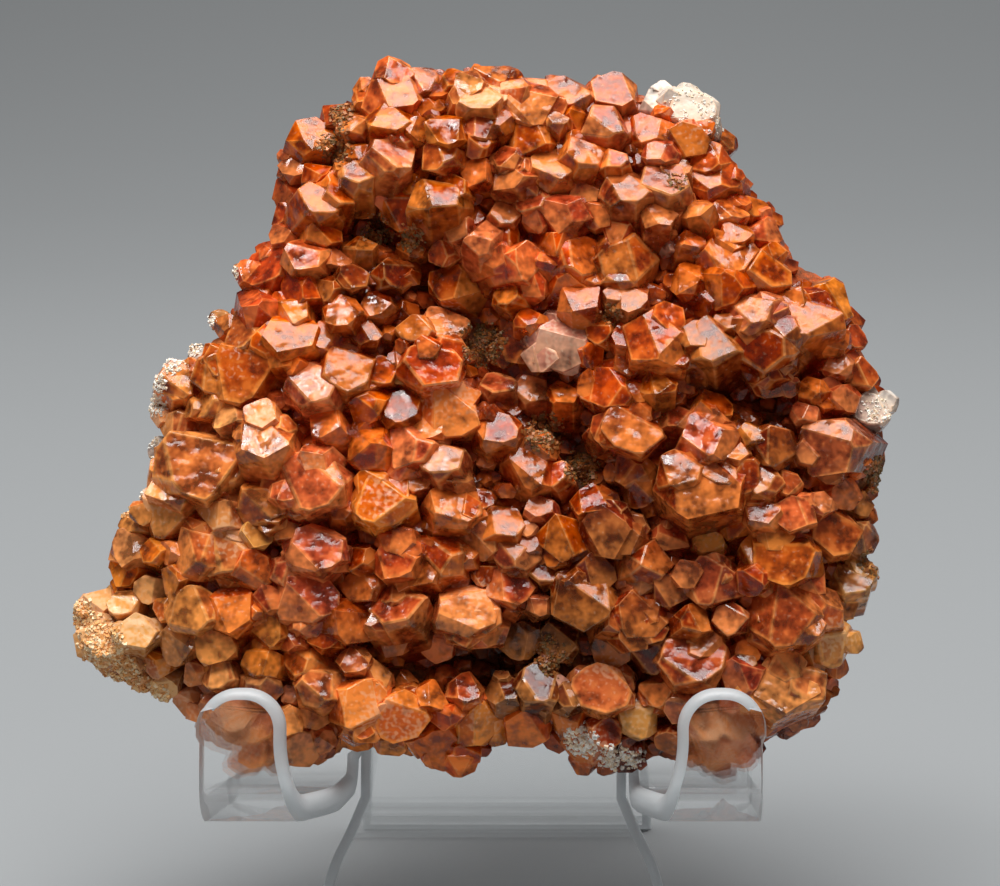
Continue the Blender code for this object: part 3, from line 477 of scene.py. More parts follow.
def growCrystal(row, group):
    u, v, radius, *mainFace = [item for item in row if not isinstance(item, str)]
    named = [item for item in row if isinstance(item, str)]
    name = f"crystal {u:.1f} {v:.1f}"
    dice = random.Random(name)
    if mainFace:
        aim = faceDirection(math.radians(mainFace[0]), math.radians(mainFace[1]))
    else:
        aim = drawAim(u, v, habits["listed"], dice)
    place = drawPlace(u, v, radius, habits["listed"], dice)
    if radius < crystalLook["largeFrom"]:
        radius *= crystalLook["swell"]
    tint = crystalTint(named[0] if named else zoneColour(u, v), dice)
    pieces = [crystalPiece(name, crystalMesh(radius, dice), tint, radius, place, aim, group)]
    if radius > crystalLook["sideGrowthFrom"]:
        kind = sideGrowth["stepped" if radius > crystalLook["steppedFrom"] else "plain"]
        for part in range(dice.choice(kind["count"])):
            around = dice.uniform(0.0, 2.0 * math.pi)
            small = radius * dice.uniform(*kind["size"])
            reach = radius * dice.uniform(*kind["reach"])
            drop = radius * dice.uniform(*kind["drop"])
            offset = Vector((reach * math.cos(around), reach * math.sin(around), -drop))
            sway = Vector([dice.gauss(0.0, crystalLook["sideSway"]) for _ in range(2)] + [0.0])
            pieces.append(crystalPiece(f"{name} {part}", crystalMesh(small, dice), tint, small,
                                       place + offset, (aim + sway).normalized(), group))
    return pieces


filler = {"seed": 41, "reach": 50.0, "pitch": 1.4, "jitter": 0.6, "edgeRoom": 0.6, "overlap": 0.6,
          "least": 0.6, "most": 1.6, "grow": 1.25}


def onEarth(u, v):
    return any(math.hypot(u - x, v - y) < 0.8 * spread for x, y, spread, _ in growth["earthPatches"])


def growFiller(group):  # small crystals in the gaps that the listed ones leave
    dice = random.Random(filler["seed"])
    taken = [(row[0], row[1], row[2]) for row in crystalRows]
    pitch, jitter = filler["pitch"], filler["jitter"]
    steps = int(filler["reach"] / pitch)
    for rowIndex in range(-steps, steps + 1):
        for columnIndex in range(-steps, steps + 1):
            u = columnIndex * pitch + dice.uniform(-1.0, 1.0) * jitter
            v = rowIndex * pitch + dice.uniform(-1.0, 1.0) * jitter
            if edgeDistance(Vector((u, v))) < filler["edgeRoom"] or onEarth(u, v):
                continue
            room = min(math.hypot(u - x, v - y) - filler["overlap"] * r for x, y, r in taken)
            if room < filler["least"]:
                continue
            radius = min(room * filler["grow"], filler["most"])
            taken.append((u, v, radius))
            aim = drawAim(u, v, habits["filler"], dice)
            place = drawPlace(u, v, radius, habits["filler"], dice)
            tint = crystalTint(zoneColour(u, v), dice)
            crystalPiece(f"filler {u:.1f} {v:.1f}", crystalMesh(radius, dice), tint, radius, place, aim,
                         group)


def uniteCrystals(first, others):
    union = first.modifiers.new("Grown together", "BOOLEAN")
    union.operation = "UNION"
    union.solver = "MANIFOLD"
    union.operand_type = "COLLECTION"
    union.collection = others
    mesh = bpy.data.meshes.new_from_object(evaluated(first), preserve_all_data_layers=True,
                                           depsgraph=bpy.context.evaluated_depsgraph_get())
    mesh.name = "calcite_crystals"
    return mesh


def dropInnerShells(mesh):  # only the largest connected surface stays
    bm = bmesh.new()
    bm.from_mesh(mesh)
    unseen = set(bm.verts)
    shells = []
    while unseen:
        start = unseen.pop()
        shell = {start}
        border = [start]
        while border:
            vert = border.pop()
            for edge in vert.link_edges:
                other = edge.other_vert(vert)
                if other not in shell:
                    shell.add(other)
                    border.append(other)
        unseen -= shell
        shells.append(shell)
    shells.sort(key=len)
    for shell in shells[:-1]:
        bmesh.ops.delete(bm, geom=list(shell), context="VERTS")
    bm.to_mesh(mesh)
    bm.free()


def newCollection(name):
    group = bpy.data.collections.new(name)
    bpy.context.scene.collection.children.link(group)
    return group


def growCrystals():
    first = newCollection("first crystal")
    others = newCollection("other crystals")
    for index, row in enumerate(crystalRows):
        pieces = growCrystal(row, others)
        if index == 0:
            others.objects.unlink(pieces[0])
            first.objects.link(pieces[0])
            seed = pieces[0]
    growFiller(others)
    mesh = uniteCrystals(seed, others)
    dropInnerShells(mesh)
    for group in (first, others):
        for thing in list(group.objects):
            bpy.data.objects.remove(thing, do_unlink=True)
        bpy.data.collections.remove(group)
    crystals = bpy.data.objects.new("calcite_crystals", mesh)
    bpy.context.scene.collection.objects.link(crystals)
    return crystals


# Host rock behind and between the crystals

rock = {
    "grid": 2.2, "rows": 22, "columns": 24, "rowPitch": 0.87, "edgeRoom": 0.6, "voxel": 0.75,
    "frontWave": 0.6, "frontWaveSize": 0.3, "backWave": 1.1, "backWaveSize": 0.13,
    "soilColour": (0.16, 0.055, 0.014, 1.0),
    "roughSize": 0.16, "roughHeight": 0.75, "roughMiddle": 0.25, "brokenSize": 0.35,
    "brokenDepth": 0.5, "grainSize": 0.75, "grainHeight": 0.28, "mostOut": 0.55,
}


def rockPlan():
    rim = []
    for u, v in outline:
        point = Vector((u, v))
        rim.append(point * (1.0 - growth["matrixInset"] / point.length))
    inner = []
    for row in range(-rock["rows"], rock["rows"] + 1):
        for column in range(-rock["columns"], rock["columns"] + 1):
            point = Vector((column + 0.5 * (row % 2), row * rock["rowPitch"])) * rock["grid"]
            if edgeDistance(point) > rock["edgeRoom"] * rock["grid"]:
                inner.append(point)
    count = len(rim)
    loop = [(index, (index + 1) % count) for index in range(count)]
    points, _, faces, *_ = geometry.delaunay_2d_cdt(rim + inner, loop, [], 1, 1e-5)
    return points, faces, count


def rockFront(point):
    height = relief(point.x, point.y) - growth["crustDepth"]
    for u, v, spread, rise in growth["earthPatches"]:
        height += rise * math.exp(-(math.hypot(point.x - u, point.y - v) / spread) ** 4)
    return height + rock["frontWave"] * noise.noise(Vector((*point, 0.0)) * rock["frontWaveSize"])


def rockBack(point):
    shore = clamp(edgeDistance(point) / growth["backRounding"])
    base = growth["backEdge"] + (growth["backDepth"] - growth["backEdge"]) * math.sqrt(shore)
    return base + rock["backWave"] * noise.noise(Vector((*point, 9.0)) * rock["backWaveSize"])


def rockShell():
    points, faces, count = rockPlan()
    bm = bmesh.new()
    front = [bm.verts.new((*point, rockFront(point))) for point in points]
    back = [bm.verts.new((*point, rockBack(point))) for point in points]
    for face in faces:
        bm.faces.new([front[index] for index in face])
        bm.faces.new([back[index] for index in reversed(face)])
    for index in range(count):
        following = (index + 1) % count
        bm.faces.new([front[index], back[index], back[following], front[following]])
    bmesh.ops.recalc_face_normals(bm, faces=bm.faces)
    return pieceFrom(bm, "host_rock")


def rockRoughness(place):
    rough = noise.fractal(place * rock["roughSize"], 0.8, 2.1, 4)
    broken = abs(noise.noise(place * rock["brokenSize"] + Vector((7.0, 3.0, 1.0))))
    grain = noise.noise(place * rock["grainSize"])
    push = rock["roughHeight"] * (rough - rock["roughMiddle"]) - rock["brokenDepth"] * broken
    return min(push + rock["grainHeight"] * grain, rock["mostOut"])


def makeRock():
    piece = rockShell()
    remesh = piece.modifiers.new("Even faces", "REMESH")
    remesh.mode = "VOXEL"
    remesh.voxel_size = rock["voxel"]
    fine = bpy.data.meshes.new_from_object(evaluated(piece))
    piece.modifiers.clear()
    piece.data = fine
    fine.name = "host_rock"
    normals = [vert.normal.copy() for vert in fine.vertices]
    soil = []
    for vert, normal in zip(fine.vertices, normals):
        vert.co += normal * rockRoughness(vert.co)
        u, v, _ = vert.co
        soil.extend(rock["soilColour"] if onEarth(u, v) else (*palette[zoneColour(u, v)], 1.0))
    writeLayer(fine, "soil", "FLOAT_COLOR", "POINT", soil)
    fine.shade_smooth()
    return piece


# Crusts of very small grains: right, up, spread, how many, size, kind
crustRows = [
    (-38.4, 1.6, 1.5, 150, 0.22, "white"), (-39.2, -2.2, 1.3, 140, 0.22, "white"),
    (-36, 6.2, 1.3, 120, 0.22, "white"), (-40, -8.6, 1, 80, 0.22, "white"),
    (-32.4, 11, 1.2, 90, 0.22, "white"), (-29.6, 17, 1.2, 90, 0.22, "white"),
    (-37.4, 4, 1.1, 90, 0.22, "white"), (-34.4, 8.2, 1.1, 90, 0.22, "white"),
    (-39.6, -5.4, 1.1, 90, 0.22, "white"), (-41.8, -10.6, 1, 60, 0.22, "cream"),
    (-26.6, 21.6, 0.9, 60, 0.20, "white"),
    (-43.8, -26.4, 3.4, 420, 0.30, "cream"), (-47.4, -23, 2, 200, 0.30, "cream"),
    (-41.6, -30.4, 2.8, 340, 0.28, "cream"), (-38, -32.6, 2, 200, 0.28, "cream"),
    (11.6, -37.5, 2, 180, 0.28, "white"), (15.2, -39.4, 1.8, 160, 0.28, "white"),
    (17.6, -39.8, 1.3, 90, 0.28, "white"), (24, 37.2, 2.8, 70, 0.18, "white"),
    (26.8, 34.4, 1.6, 30, 0.18, "white"), (45.8, 1, 1.8, 90, 0.20, "white"),
    (46.4, -6.6, 2.2, 260, 0.30, "earth"), (45.6, -17, 1.8, 140, 0.28, "earth"),
    (0.2, 8.6, 2.6, 380, 0.26, "earth"), (7.2, -1.8, 2.4, 320, 0.26, "earth"),
    (11.4, -5.8, 2, 240, 0.26, "earth"), (-17.2, 31.4, 2.2, 260, 0.28, "earth"),
    (-16.6, 35.6, 1.8, 180, 0.28, "earth"), (-12.6, 22, 1.8, 160, 0.26, "earth"),
    (-8.4, 20.8, 1.6, 120, 0.26, "earth"), (15, 11.6, 1.2, 90, 0.24, "earth"),
    (22.4, 27, 1.2, 60, 0.24, "earth"), (8, -27.6, 2.4, 160, 0.26, "earth")]

crustColours = {"white": [(0.95, 0.86, 0.72), (0.92, 0.72, 0.50), (0.96, 0.92, 0.84)],
                "cream": [(0.92, 0.56, 0.24), (0.93, 0.70, 0.42), (0.80, 0.36, 0.10)],
                "earth": [(0.46, 0.150, 0.024), (0.32, 0.100, 0.018), (0.22, 0.120, 0.036)]}


def surfaceTree(things):
    points, faces = [], []
    for thing in things:
        base = len(points)
        points.extend(vert.co.copy() for vert in thing.data.vertices)
        faces.extend([base + index for index in poly.vertices] for poly in thing.data.polygons)
    return bvhtree.BVHTree.FromPolygons(points, faces)


crustLook = {"seed": 77, "above": 40.0, "lowest": -11.0, "reach": (0.7, 1.15), "grain": (0.4, 1.0),
             "bright": (0.8, 1.1), "turn": (0.0, 6.28), "tilt": (0.5, 1.1), "high": (0.7, 1.2),
             "sink": (-0.7, 0.0), "half": 0.8}


def growCrust(tree):  # each grain is a small skewed rhomb, half sunk in what it grew on
    dice = random.Random(crustLook["seed"])
    points, faces, colours = [], [], []
    corners = [Vector((x, y, z)) for x in (-1, 1) for y in (-1, 1) for z in (-1, 1)]
    sides = [(0, 1, 3, 2), (4, 6, 7, 5), (0, 4, 5, 1), (2, 3, 7, 6), (0, 2, 6, 4), (1, 5, 7, 3)]
    for u, v, spread, count, size, colour in crustRows:
        for _ in range(count):
            reach = spread * math.sqrt(dice.random()) * dice.uniform(*crustLook["reach"])
            around = dice.uniform(0.0, 2.0 * math.pi)
            start = Vector((u + reach * math.cos(around), v + reach * math.sin(around), crustLook["above"]))
            hit, normal, _, _ = tree.ray_cast(start, Vector((0.0, 0.0, -1.0)))
            grain = size * dice.uniform(*crustLook["grain"])
            tint = Color(dice.choice(crustColours[colour]))
            tint.v = min(1.0, tint.v * dice.uniform(*crustLook["bright"]))
            turn, tilt, spin = [Matrix.Rotation(dice.uniform(*crustLook[key]), 3, axis)
                                for key, axis in (("turn", "Z"), ("tilt", "X"), ("turn", "Y"))]
            turn = turn @ tilt @ spin
            high = dice.uniform(*crustLook["high"])
            skew = Matrix(((1.0, 0.22, 0.1), (0.0, 1.0, 0.16), (0.0, 0.0, high)))
            if hit is None or hit.z < crustLook["lowest"]:
                continue
            place = hit + normal * grain * dice.uniform(*crustLook["sink"])
            half = crustLook["half"]
            base = len(points)
            points.extend(place + turn @ (skew @ (corner * grain * half)) for corner in corners)
            faces.extend([base + index for index in side] for side in sides)
            colours.extend((*tint, 1.0) * len(sides))
    mesh = bpy.data.meshes.new("sugary_crust")
    mesh.from_pydata(points, [], faces)
    writeLayer(mesh, "tint", "FLOAT_COLOR", "FACE", colours)
    bm = bmesh.new()
    bm.from_mesh(mesh)
    bpy.data.meshes.remove(mesh)
    bmesh.ops.recalc_face_normals(bm, faces=bm.faces)
    return pieceFrom(bm, "sugary_crust")


# Clear easel, bent from one sheet

def arc(centreY, centreZ, radius, start, end, steps):
    points = []
    for index in range(steps + 1):
        angle = math.radians(start + (end - start) * index / steps)
        points.append((centreY + radius * math.sin(angle), centreZ + radius * math.cos(angle)))
    return points


def addStrip(bm, rows):
    previous = None
    for (y, z), left, right in rows:
        current = (bm.verts.new((left, y, z)), bm.verts.new((right, y, z)))
        if previous:
            bm.faces.new((previous[0], previous[1], current[1], current[0]))
        previous = current


def shoulderRows():
    fold = easel["ledgeTop"] - easel["sheet"] / 2.0 + easel["foldRadius"]
    plate, steps = easel["plateHalf"], easel["shoulderSteps"]
    rows = []
    for index in range(steps + 1):
        share = 1.0 - index / steps
        half = plate + (easel["hookOuter"] - plate) * (1.0 - share) ** easel["shoulderSweep"]
        rows.append((fold + easel["shoulderHeight"] * share, half))
    return rows


def smoothWidths(widths, steps):  # a smooth curve through the listed widths
    rows = []
    fine = 32
    for index in range(steps + 1):
        place = index / steps * (len(widths) - 1)
        first = min(int(place), len(widths) - 2)
        before, start, end, after = [Vector(widths[clamp(first + step, 0, len(widths) - 1)])
                                     for step in (-1, 0, 1, 2)]
        points = geometry.interpolate_bezier(start, start + (end - before) / 6.0,
                                             end - (after - start) / 6.0, end, fine + 1)
        rows.append(tuple(points[round((place - first) * fine)]))
    return rows


def centreRows():
    middle = easel["plateFront"] - easel["sheet"] / 2.0
    half, top = easel["plateHalf"], easel["topRadius"]
    rows = [((height, middle), -width, width)
            for height, width in smoothWidths(easel["tongueWidths"], easel["tongueSteps"])]
    rows += [((height, middle), -half, half) for height, _ in reversed(shoulderRows())]
    bendCentre = middle - top
    fall, back = easel["rearFoot"][0] - easel["plateTop"], easel["rearFoot"][1] - bendCentre
    turn = math.degrees(math.atan2(-back, fall) + math.asin(top / math.hypot(fall, back)))
    bend = arc(easel["plateTop"], bendCentre, top, 0.0, turn, easel["topSteps"])
    rows += [(point, -half, half) for point in bend]
    rows.append((easel["rearFoot"], -easel["rearFootHalf"], easel["rearFootHalf"]))
    return rows


def ledgeAndLip(floor, foldCentre, ledgeEnd, lipPlace):
    ledgeSteps, lipSteps = easel["ledgeSteps"], easel["lipSteps"]
    lipFoot = floor + easel["lipRadius"]
    lipStart = easel["lipTop"] - easel["lipCorner"]
    ledge = [(floor, foldCentre + (ledgeEnd - foldCentre) * index / ledgeSteps)
             for index in range(1, ledgeSteps)]
    bend = arc(lipFoot, ledgeEnd, easel["lipRadius"], 270.0, 360.0, easel["bendSteps"])
    lip = [(lipFoot + (lipStart - lipFoot) * index / lipSteps, lipPlace) for index in range(1, lipSteps)]
    return ledge + bend + lip


def hookRows():
    middle = easel["plateFront"] - easel["sheet"] / 2.0
    floor = easel["ledgeTop"] - easel["sheet"] / 2.0
    inner = easel["plateHalf"] + easel["hookSlit"]
    outer, narrow = easel["hookOuter"], easel["hookInner"]
    foldRadius = easel["foldRadius"]
    foldCentre = middle + foldRadius
    lipPlace = middle + easel["hookReach"]
    ledgeEnd = lipPlace - easel["lipRadius"]
    rows = [((height, middle), easel["plateHalf"], half) for height, half in shoulderRows()]
    fold = arc(floor + foldRadius, foldCentre, foldRadius, 180.0, 270.0, easel["bendSteps"])
    rows += [(point, inner, outer) for point in fold[1:]]
    way = ledgeAndLip(floor, foldCentre, ledgeEnd, lipPlace)
    lengths = [0.0]
    for first, second in zip(way, way[1:]):
        lengths.append(lengths[-1] + math.dist(first, second))
    flareStart = (ledgeEnd - foldCentre) * easel["flareFrom"]
    flareEnd = (ledgeEnd - foldCentre) + easel["lipRadius"] * math.pi / 2.0 + easel["flareLip"]
    for point, length in zip(way, lengths):
        share = clamp((length - flareStart) / (flareEnd - flareStart))
        ease = share * share * (3.0 - 2.0 * share)
        splay = easel["lipSplay"] * max(0.0, (length - flareEnd) / (lengths[-1] - flareEnd))
        rows.append((point, inner + (narrow - inner) * ease, outer + splay))
    for index in range(easel["cornerSteps"] + 1):  # the rounded top of the lip
        share = math.sin(index / easel["cornerSteps"] * math.pi / 2.0)
        height = easel["lipTop"] - easel["lipCorner"] * (1.0 - share)
        inset = easel["lipCorner"] * (1.0 - math.sqrt(max(0.0, 1.0 - share ** 2)))
        rows.append(((height, lipPlace), narrow + inset, outer + easel["lipSplay"] - inset))
    return rows


def cutFeet(bm):  # level with the table
    lean = math.radians(display["leanBack"])
    upright = Vector((0.0, math.cos(lean), math.sin(lean)))
    fold = Vector((0.0, easel["ledgeTop"], easel["plateFront"]))
    cut = bmesh.ops.bisect_plane(bm, geom=bm.verts[:] + bm.edges[:] + bm.faces[:],
                                 plane_co=fold - upright * easel["tableDrop"], plane_no=upright,
                                 clear_inner=True)
    feet = [item for item in cut["geom_cut"] if isinstance(item, bmesh.types.BMEdge)]
    for face in bmesh.ops.edgeloop_fill(bm, edges=feet)["faces"]:
        face.material_index = 1
    bmesh.ops.recalc_face_normals(bm, faces=bm.faces)


def isSawnEdge(edge):  # where sheet meets rim, apart from the straight outer sides under the lips
    outerSide = easel["hookOuter"] - 0.5
    onSide = all(abs(vert.co.x) > outerSide and vert.co.y < easel["lipTop"] for vert in edge.verts)
    return len({face.material_index for face in edge.link_faces}) == 2 and not onSide


def makeEasel():
    bm = bmesh.new()
    addStrip(bm, centreRows())
    for side in (-1.0, 1.0):
        addStrip(bm, [(point, side * inner, side * outer) for point, inner, outer in hookRows()])
    bmesh.ops.remove_doubles(bm, verts=bm.verts, dist=1e-4)
    bmesh.ops.recalc_face_normals(bm, faces=bm.faces)
    piece = pieceFrom(bm, "bent_easel")
    mesh = piece.data
    for _ in ("sheet", "sawn edge"):
        mesh.materials.append(None)
    thicken = piece.modifiers.new("Sheet thickness", "SOLIDIFY")
    thicken.thickness = easel["sheet"]
    thicken.offset = 0.0
    thicken.use_even_offset = True
    thicken.material_offset_rim = 1
    bm = bmesh.new()
    bm.from_mesh(evaluated(piece).to_mesh())
    piece.modifiers.clear()
    cutFeet(bm)
    bmesh.ops.bevel(bm, geom=[edge for edge in bm.edges if isSawnEdge(edge)], offset=easel["edgeRound"],
                    segments=3, affect="EDGES", profile=0.5, clamp_overlap=False, material=1)
    bmesh.ops.translate(bm, vec=(display["standCentre"], 0.0, 0.0), verts=bm.verts)
    bm.to_mesh(mesh)
    bm.free()
    mesh.shade_smooth()
    mesh.set_sharp_from_angle(angle=math.radians(40.0))
    return piece


# The lean of the finished pieces, back onto the frame's own stand

def leanMatrix(stand):
    turn = Matrix.Rotation(math.radians(90.0 - display["leanBack"]), 4, "X") @ Matrix.Scale(mm, 4)
    corners = [turn @ vert.co for vert in stand.data.vertices]
    low = Vector(min(corner[axis] for corner in corners) for axis in range(3))
    high = Vector(max(corner[axis] for corner in corners) for axis in range(3))
    cadStandLow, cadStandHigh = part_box("acrylic_stand")
    return Matrix.Translation((cadStandLow + cadStandHigh - low - high) / 2.0) @ turn


# Shader sums

class Socket:
    def __init__(self, tree, link):
        self.tree, self.link = tree, link

    def sum(self, operation, *others, swap=False):
        values = [self, *others]
        if swap:
            values.reverse()
        return node(self.tree, "ShaderNodeMath", {"operation": operation}, values)

    def __add__(self, other):
        return self.sum("ADD", other)

    __radd__ = __add__

    def __mul__(self, other):
        return self.sum("MULTIPLY", other)

    __rmul__ = __mul__

    def __sub__(self, other):
        return self.sum("SUBTRACT", other)

    def __rsub__(self, other):
        return self.sum("SUBTRACT", other, swap=True)

    def clip(self):
        return node(self.tree, "ShaderNodeClamp", {}, {"Value": self})

    def span(self, low, high, newLow=0.0, newHigh=1.0):
        return node(self.tree, "ShaderNodeMapRange", {},
                    {"Value": self, "From Min": low, "From Max": high, "To Min": newLow,
                     "To Max": newHigh})


def node(tree, kind, settings, values, output=0):
    made = tree.nodes.new(kind)
    for name, value in settings.items():
        setattr(made, name, value)
    pairs = values.items() if isinstance(values, dict) else enumerate(values)
    for name, value in pairs:
        socket = made.inputs[name]
        if isinstance(value, Socket):
            tree.links.new(value.link, socket)
        else:
            socket.default_value = value
    return Socket(tree, made.outputs[output])


def mix(tree, share, first, second, blend="MIX"):
    made = tree.nodes.new("ShaderNodeMix")
    made.data_type = "RGBA"
    made.blend_type = blend
    for name, value in (("Factor_Float", share), ("A_Color", first), ("B_Color", second)):
        socket = next(item for item in made.inputs if item.identifier == name)
        if isinstance(value, Socket):
            tree.links.new(value.link, socket)
        elif name == "Factor_Float":
            socket.default_value = value
        else:
            socket.default_value = (*value, 1.0)
    result = next(item for item in made.outputs if item.identifier == "Result_Color")
    return Socket(tree, result)


def material(name):
    made = bpy.data.materials.new(name)
    made.use_nodes = True
    tree = made.node_tree
    tree.nodes.clear()
    surface = tree.nodes.new("ShaderNodeBsdfPrincipled")
    output = tree.nodes.new("ShaderNodeOutputMaterial")
    tree.links.new(surface.outputs[0], output.inputs["Surface"])
    return made, tree, surface


surfaceSockets = {
    "colour": "Base Color", "roughness": "Roughness", "normal": "Normal", "ior": "IOR",
    "clear": "Transmission Weight", "specular": "Specular IOR Level", "alpha": "Alpha",
    "glow": "Emission Color", "glowStrength": "Emission Strength",
}


def finish(tree, surface, **values):
    for key, value in values.items():
        socket = surface.inputs[surfaceSockets[key]]
        if isinstance(value, Socket):
            tree.links.new(value.link, socket)
        else:
            socket.default_value = value


def attribute(tree, name, output=2):  # output 0 is its colour, 2 its number
    return node(tree, "ShaderNodeAttribute", {"attribute_name": name}, {}, output)


def objectPlace(tree):
    return node(tree, "ShaderNodeTexCoord", {}, {}, output=3)


def noiseAt(tree, place, size, detail=4.0, roughness=0.55, distortion=0.0):
    return node(tree, "ShaderNodeTexNoise", {},
                {"Vector": place, "Scale": size, "Detail": detail, "Roughness": roughness,
                 "Distortion": distortion})


def bump(tree, height, distance, strength):
    return node(tree, "ShaderNodeBump", {}, {"Height": height, "Distance": distance, "Strength": strength})


calciteLook = {
    "cloudSize": 430.0, "veilSize": 1300.0, "wobbleSize": 700.0, "gritSize": 2200.0,
    "deepShare": (0.62, 0.33, 0.26), "bright": (0.97, 0.38, 0.085), "rim": (0.96, 0.45, 0.16),
    "frosty": (0.95, 0.72, 0.46), "paintedShadeColour": (0.26, 0.085, 0.045),
    "ior": 1.52, "clear": 0.8, "shine": 0.24, "soak": 50.0, "soakColour": (0.99, 0.48, 0.17, 1.0),
    "waviness": 0.0005,
}


def calciteColour(tree, cloud, veil, sugar):
    tint = attribute(tree, "tint", output=0)
    paintedShadeAmount, low, core = [attribute(tree, name) for name in ("paintedCreviceShade", "paintedLowGlow", "core")]
    deep = mix(tree, 1.0, tint, calciteLook["deepShare"], "MULTIPLY")
    bright = mix(tree, 0.5, tint, calciteLook["bright"])
    # The cloud noise is the stone's own zoning; the deeper colour of face cores is painted shade, and the
    # paler lower sides and face rims a painted glow of light through the crystals
    inside = (core + 1.4 * (0.5 - cloud)).span(0.3, 1.0, 0.0, 0.75).clip()
    colour = mix(tree, inside, tint, deep)
    lit = (0.7 * low - 0.6 * core + 0.9 * cloud).span(0.35, 1.0, 0.0, 0.7).clip()
    colour = mix(tree, lit, colour, bright)
    colour = mix(tree, veil.span(0.60, 0.78, 0.0, 0.4).clip(), colour, bright)
    # Bevel faces lighter: partly wear along the edges, partly a painted highlight; kept out of the painted
    # crevice shade
    colour = mix(tree, attribute(tree, "edgeMark") * (0.3 - 0.3 * paintedShadeAmount), colour, calciteLook["rim"])
    colour = mix(tree, sugar * 0.45, colour, mix(tree, 0.55, tint, calciteLook["frosty"]))
    # Painted shade: the colour is darkened towards the painted shade colour as far as the corner lies down
    # in a crevice
    return mix(tree, 1.0, colour, mix(tree, paintedShadeAmount, (1.0, 1.0, 1.0), calciteLook["paintedShadeColour"]), "MULTIPLY")


def calciteMaterial():  # glassy and milky parts, mixed by a cloudy noise, over absorbing depth
    made, tree, glassy = material("orange calcite")
    place = objectPlace(tree)
    coated = attribute(tree, "sugar")
    cloud = noiseAt(tree, place, calciteLook["cloudSize"], 2.0, 0.6)
    veil = noiseAt(tree, place, calciteLook["veilSize"], 1.0)
    grit = noiseAt(tree, place, calciteLook["gritSize"], 0.0)
    wobble = noiseAt(tree, place, calciteLook["wobbleSize"], 0.0)
    sugar = (0.8 * coated + 1.6 * grit).span(1.12, 1.5).clip()
    colour = calciteColour(tree, cloud, veil, sugar)
    shape = bump(tree, wobble + 0.25 * veil, calciteLook["waviness"], 0.45)
    rough = veil.span(0.3, 0.7, 0.04, 0.2) + 0.15 * sugar
    milky = tree.nodes.new("ShaderNodeBsdfPrincipled")
    for part in (glassy, milky):
        finish(tree, part, colour=colour, roughness=rough, normal=shape, ior=calciteLook["ior"],
               specular=calciteLook["shine"])
    finish(tree, glassy, clear=calciteLook["clear"])
    clouded = (cloud + 0.4 * veil + 0.4 * coated).span(0.52, 0.84).clip()
    blend = node(tree, "ShaderNodeMixShader", {},
                 [clouded, Socket(tree, glassy.outputs[0]), Socket(tree, milky.outputs[0])])
    soak = node(tree, "ShaderNodeVolumeAbsorption", {},
                {"Color": calciteLook["soakColour"], "Density": calciteLook["soak"]})
    output = next(item for item in tree.nodes if item.type == "OUTPUT_MATERIAL")
    tree.links.new(blend.link, output.inputs["Surface"])
    tree.links.new(soak.link, output.inputs["Volume"])
    return made


def crustMaterial():
    made, tree, surface = material("sugary calcite")
    grain = noiseAt(tree, objectPlace(tree), 2600.0, 3.0, 0.6)
    pale = grain.span(0.55, 0.8, 0.0, 0.25).clip()
    colour = mix(tree, pale, attribute(tree, "tint", output=0), (0.93, 0.84, 0.74))
    finish(tree, surface, colour=colour, roughness=0.5, normal=bump(tree, grain, 0.0001, 0.6), ior=1.5)
    return made


def rockMaterial():
    made, tree, surface = material("host rock")
    place = objectPlace(tree)
    patch = noiseAt(tree, place, 300.0, 5.0, 0.65, 0.6)
    grain = noiseAt(tree, place, 1400.0, 5.0, 0.7)
    soil = attribute(tree, "soil", output=0)
    colour = mix(tree, patch.span(0.35, 0.65).clip(), (0.11, 0.040, 0.012), soil)
    colour = mix(tree, patch.span(0.60, 0.75, 0.0, 0.6).clip(), colour, (0.70, 0.50, 0.28))
    colour = mix(tree, grain.span(0.45, 0.72, 0.0, 0.75).clip(), colour, (0.07, 0.036, 0.014))
    finish(tree, surface, colour=colour, roughness=0.75, normal=bump(tree, grain, 0.0005, 0.9))
    return made


acrylicLook = {"ior": 1.49, "sheetColour": (0.97, 0.98, 0.98, 1.0), "sheetAlpha": 0.4,
               "edgeColour": (0.50, 0.53, 0.54, 1.0), "edgeClear": 0.3}


def sheetMaterial():
    made, tree, surface = material("clear sheet")
    scuff = noiseAt(tree, objectPlace(tree), 220.0, 6.0, 0.7)
    finish(tree, surface, colour=acrylicLook["sheetColour"], roughness=scuff.span(0.55, 0.8, 0.0, 0.05),
           clear=1.0, ior=acrylicLook["ior"], alpha=acrylicLook["sheetAlpha"])
    return made


def edgeMaterial():
    made, tree, surface = material("frosted cut edge with painted glow")
    saw = noiseAt(tree, objectPlace(tree), 1800.0, 4.0, 0.6)
    # The frost and grey are the edge's own; the emission is a painted glow along the cut edges
    finish(tree, surface, colour=acrylicLook["edgeColour"], roughness=0.4,
           normal=bump(tree, saw, 0.00008, 0.5), clear=acrylicLook["edgeClear"],
           ior=acrylicLook["ior"], glow=(0.9, 0.95, 1.0, 1.0), glowStrength=0.04)
    return made


# Room, light and camera

room = {
    "floorColour": (0.285, 0.295, 0.30, 1.0), "floorHalf": 3.2, "floorFront": -1.2,
    "backStart": 0.5, "backBend": 1.8, "backRise": 2.6, "bendSteps": 24,
    "skyColour": (0.95, 0.96, 0.98, 1.0), "skyStrength": 0.13,
}

lamps = [
    # name, place, aim, size, power
    ("overhead softbox", (0.0, -0.12, 0.95), (0.0, 0.0, 0.05), (0.8, 0.6), 13.5),
    ("small window", (-0.30, -0.16, 0.80), (0.0, 0.0, 0.05), (0.16, 0.16), 1.0),
    ("backdrop light", (0.30, 0.60, 1.80), (0.25, 1.8, 0.3), (1.6, 0.8), 9.0),
]


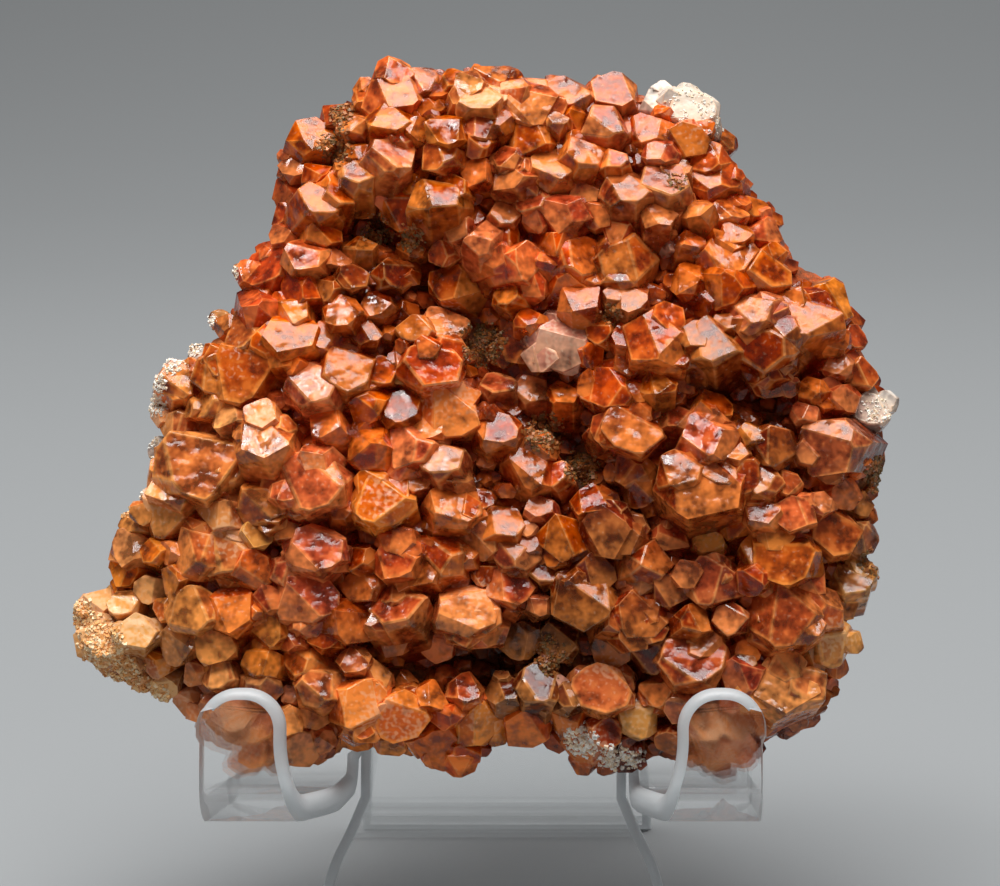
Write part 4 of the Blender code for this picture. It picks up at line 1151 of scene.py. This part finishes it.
def makeFloor():  # it bends up into the backdrop
    start, bend, steps = room["backStart"], room["backBend"], room["bendSteps"]
    profile = [(room["floorFront"], 0.0), (start, 0.0)]
    for index in range(1, steps + 1):
        angle = math.radians(90.0 * index / steps)
        profile.append((start + bend * math.sin(angle), bend - bend * math.cos(angle)))
    profile.append((start + bend, room["backRise"]))
    bm = bmesh.new()
    addStrip(bm, [(point, -room["floorHalf"], room["floorHalf"]) for point in profile])
    floor = pieceFrom(bm, "studio_floor")
    floor.data.shade_smooth()
    made, tree, surface = material("studio floor")
    finish(tree, surface, colour=room["floorColour"], roughness=0.7, specular=0.2)
    floor.data.materials.append(made)


def makeLights():
    for name, place, aim, size, power in lamps:
        light = bpy.data.lights.new(name, "AREA")
        light.shape = "RECTANGLE"
        light.size, light.size_y = size
        light.energy = power
        lamp = bpy.data.objects.new(name, light)
        bpy.context.scene.collection.objects.link(lamp)
        lamp.location = place
        lamp.rotation_euler = (Vector(aim) - Vector(place)).to_track_quat("-Z", "Y").to_euler()
    world = bpy.data.worlds.new("studio")
    world.use_nodes = True
    background = world.node_tree.nodes["Background"]
    background.inputs["Color"].default_value = room["skyColour"]
    background.inputs["Strength"].default_value = room["skyStrength"]
    bpy.context.scene.world = world


def makeCamera(lean):
    lens = bpy.data.cameras.new("photograph")
    lens.sensor_width = 36.0
    lens.lens = view["focalPixels"] / view["pictureWidth"] * lens.sensor_width
    lens.clip_start = 0.01
    camera = bpy.data.objects.new("photograph", lens)
    bpy.context.scene.collection.objects.link(camera)
    aim = lean @ Vector(view["aim"])
    pitch = math.radians(view["pitch"])
    away = Vector((0.0, -math.cos(pitch), math.sin(pitch)))
    camera.location = aim + (away * view["distance"] + Vector((view["standsRight"], 0.0, 0.0))) * mm
    lens.shift_x = -view["standsRight"] / view["distance"] * view["focalPixels"] / view["pictureWidth"]
    camera.rotation_euler = (-away).to_track_quat("-Z", "Y").to_euler()
    bpy.context.scene.camera = camera


def settle(piece, cadNode, lean):
    piece.data.transform(lean)
    piece.data.update()
    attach(piece, "root")
    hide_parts(cadNode)


def main():
    stand = makeEasel()
    lean = leanMatrix(stand)
    stand.data.materials[0] = sheetMaterial()
    stand.data.materials[1] = edgeMaterial()
    print("easel:", len(stand.data.polygons), "faces")
    crystals = growCrystals()
    crystals.data.materials.clear()
    crystals.data.materials.append(calciteMaterial())
    print("crystals:", len(crystals.data.polygons), "faces")
    hostRock = makeRock()
    hostRock.data.materials.append(rockMaterial())
    print("rock:", len(hostRock.data.polygons), "faces")
    crust = growCrust(surfaceTree([crystals, hostRock]))
    crust.data.materials.append(crustMaterial())
    print("crust:", len(crust.data.polygons), "faces")
    settle(stand, "acrylic_stand", lean)
    for piece in (crystals, hostRock, crust):
        settle(piece, "calcite_cluster", lean)
    makeFloor()
    makeLights()
    makeCamera(lean)
    bpy.context.scene.view_settings.view_transform = "Standard"


main()
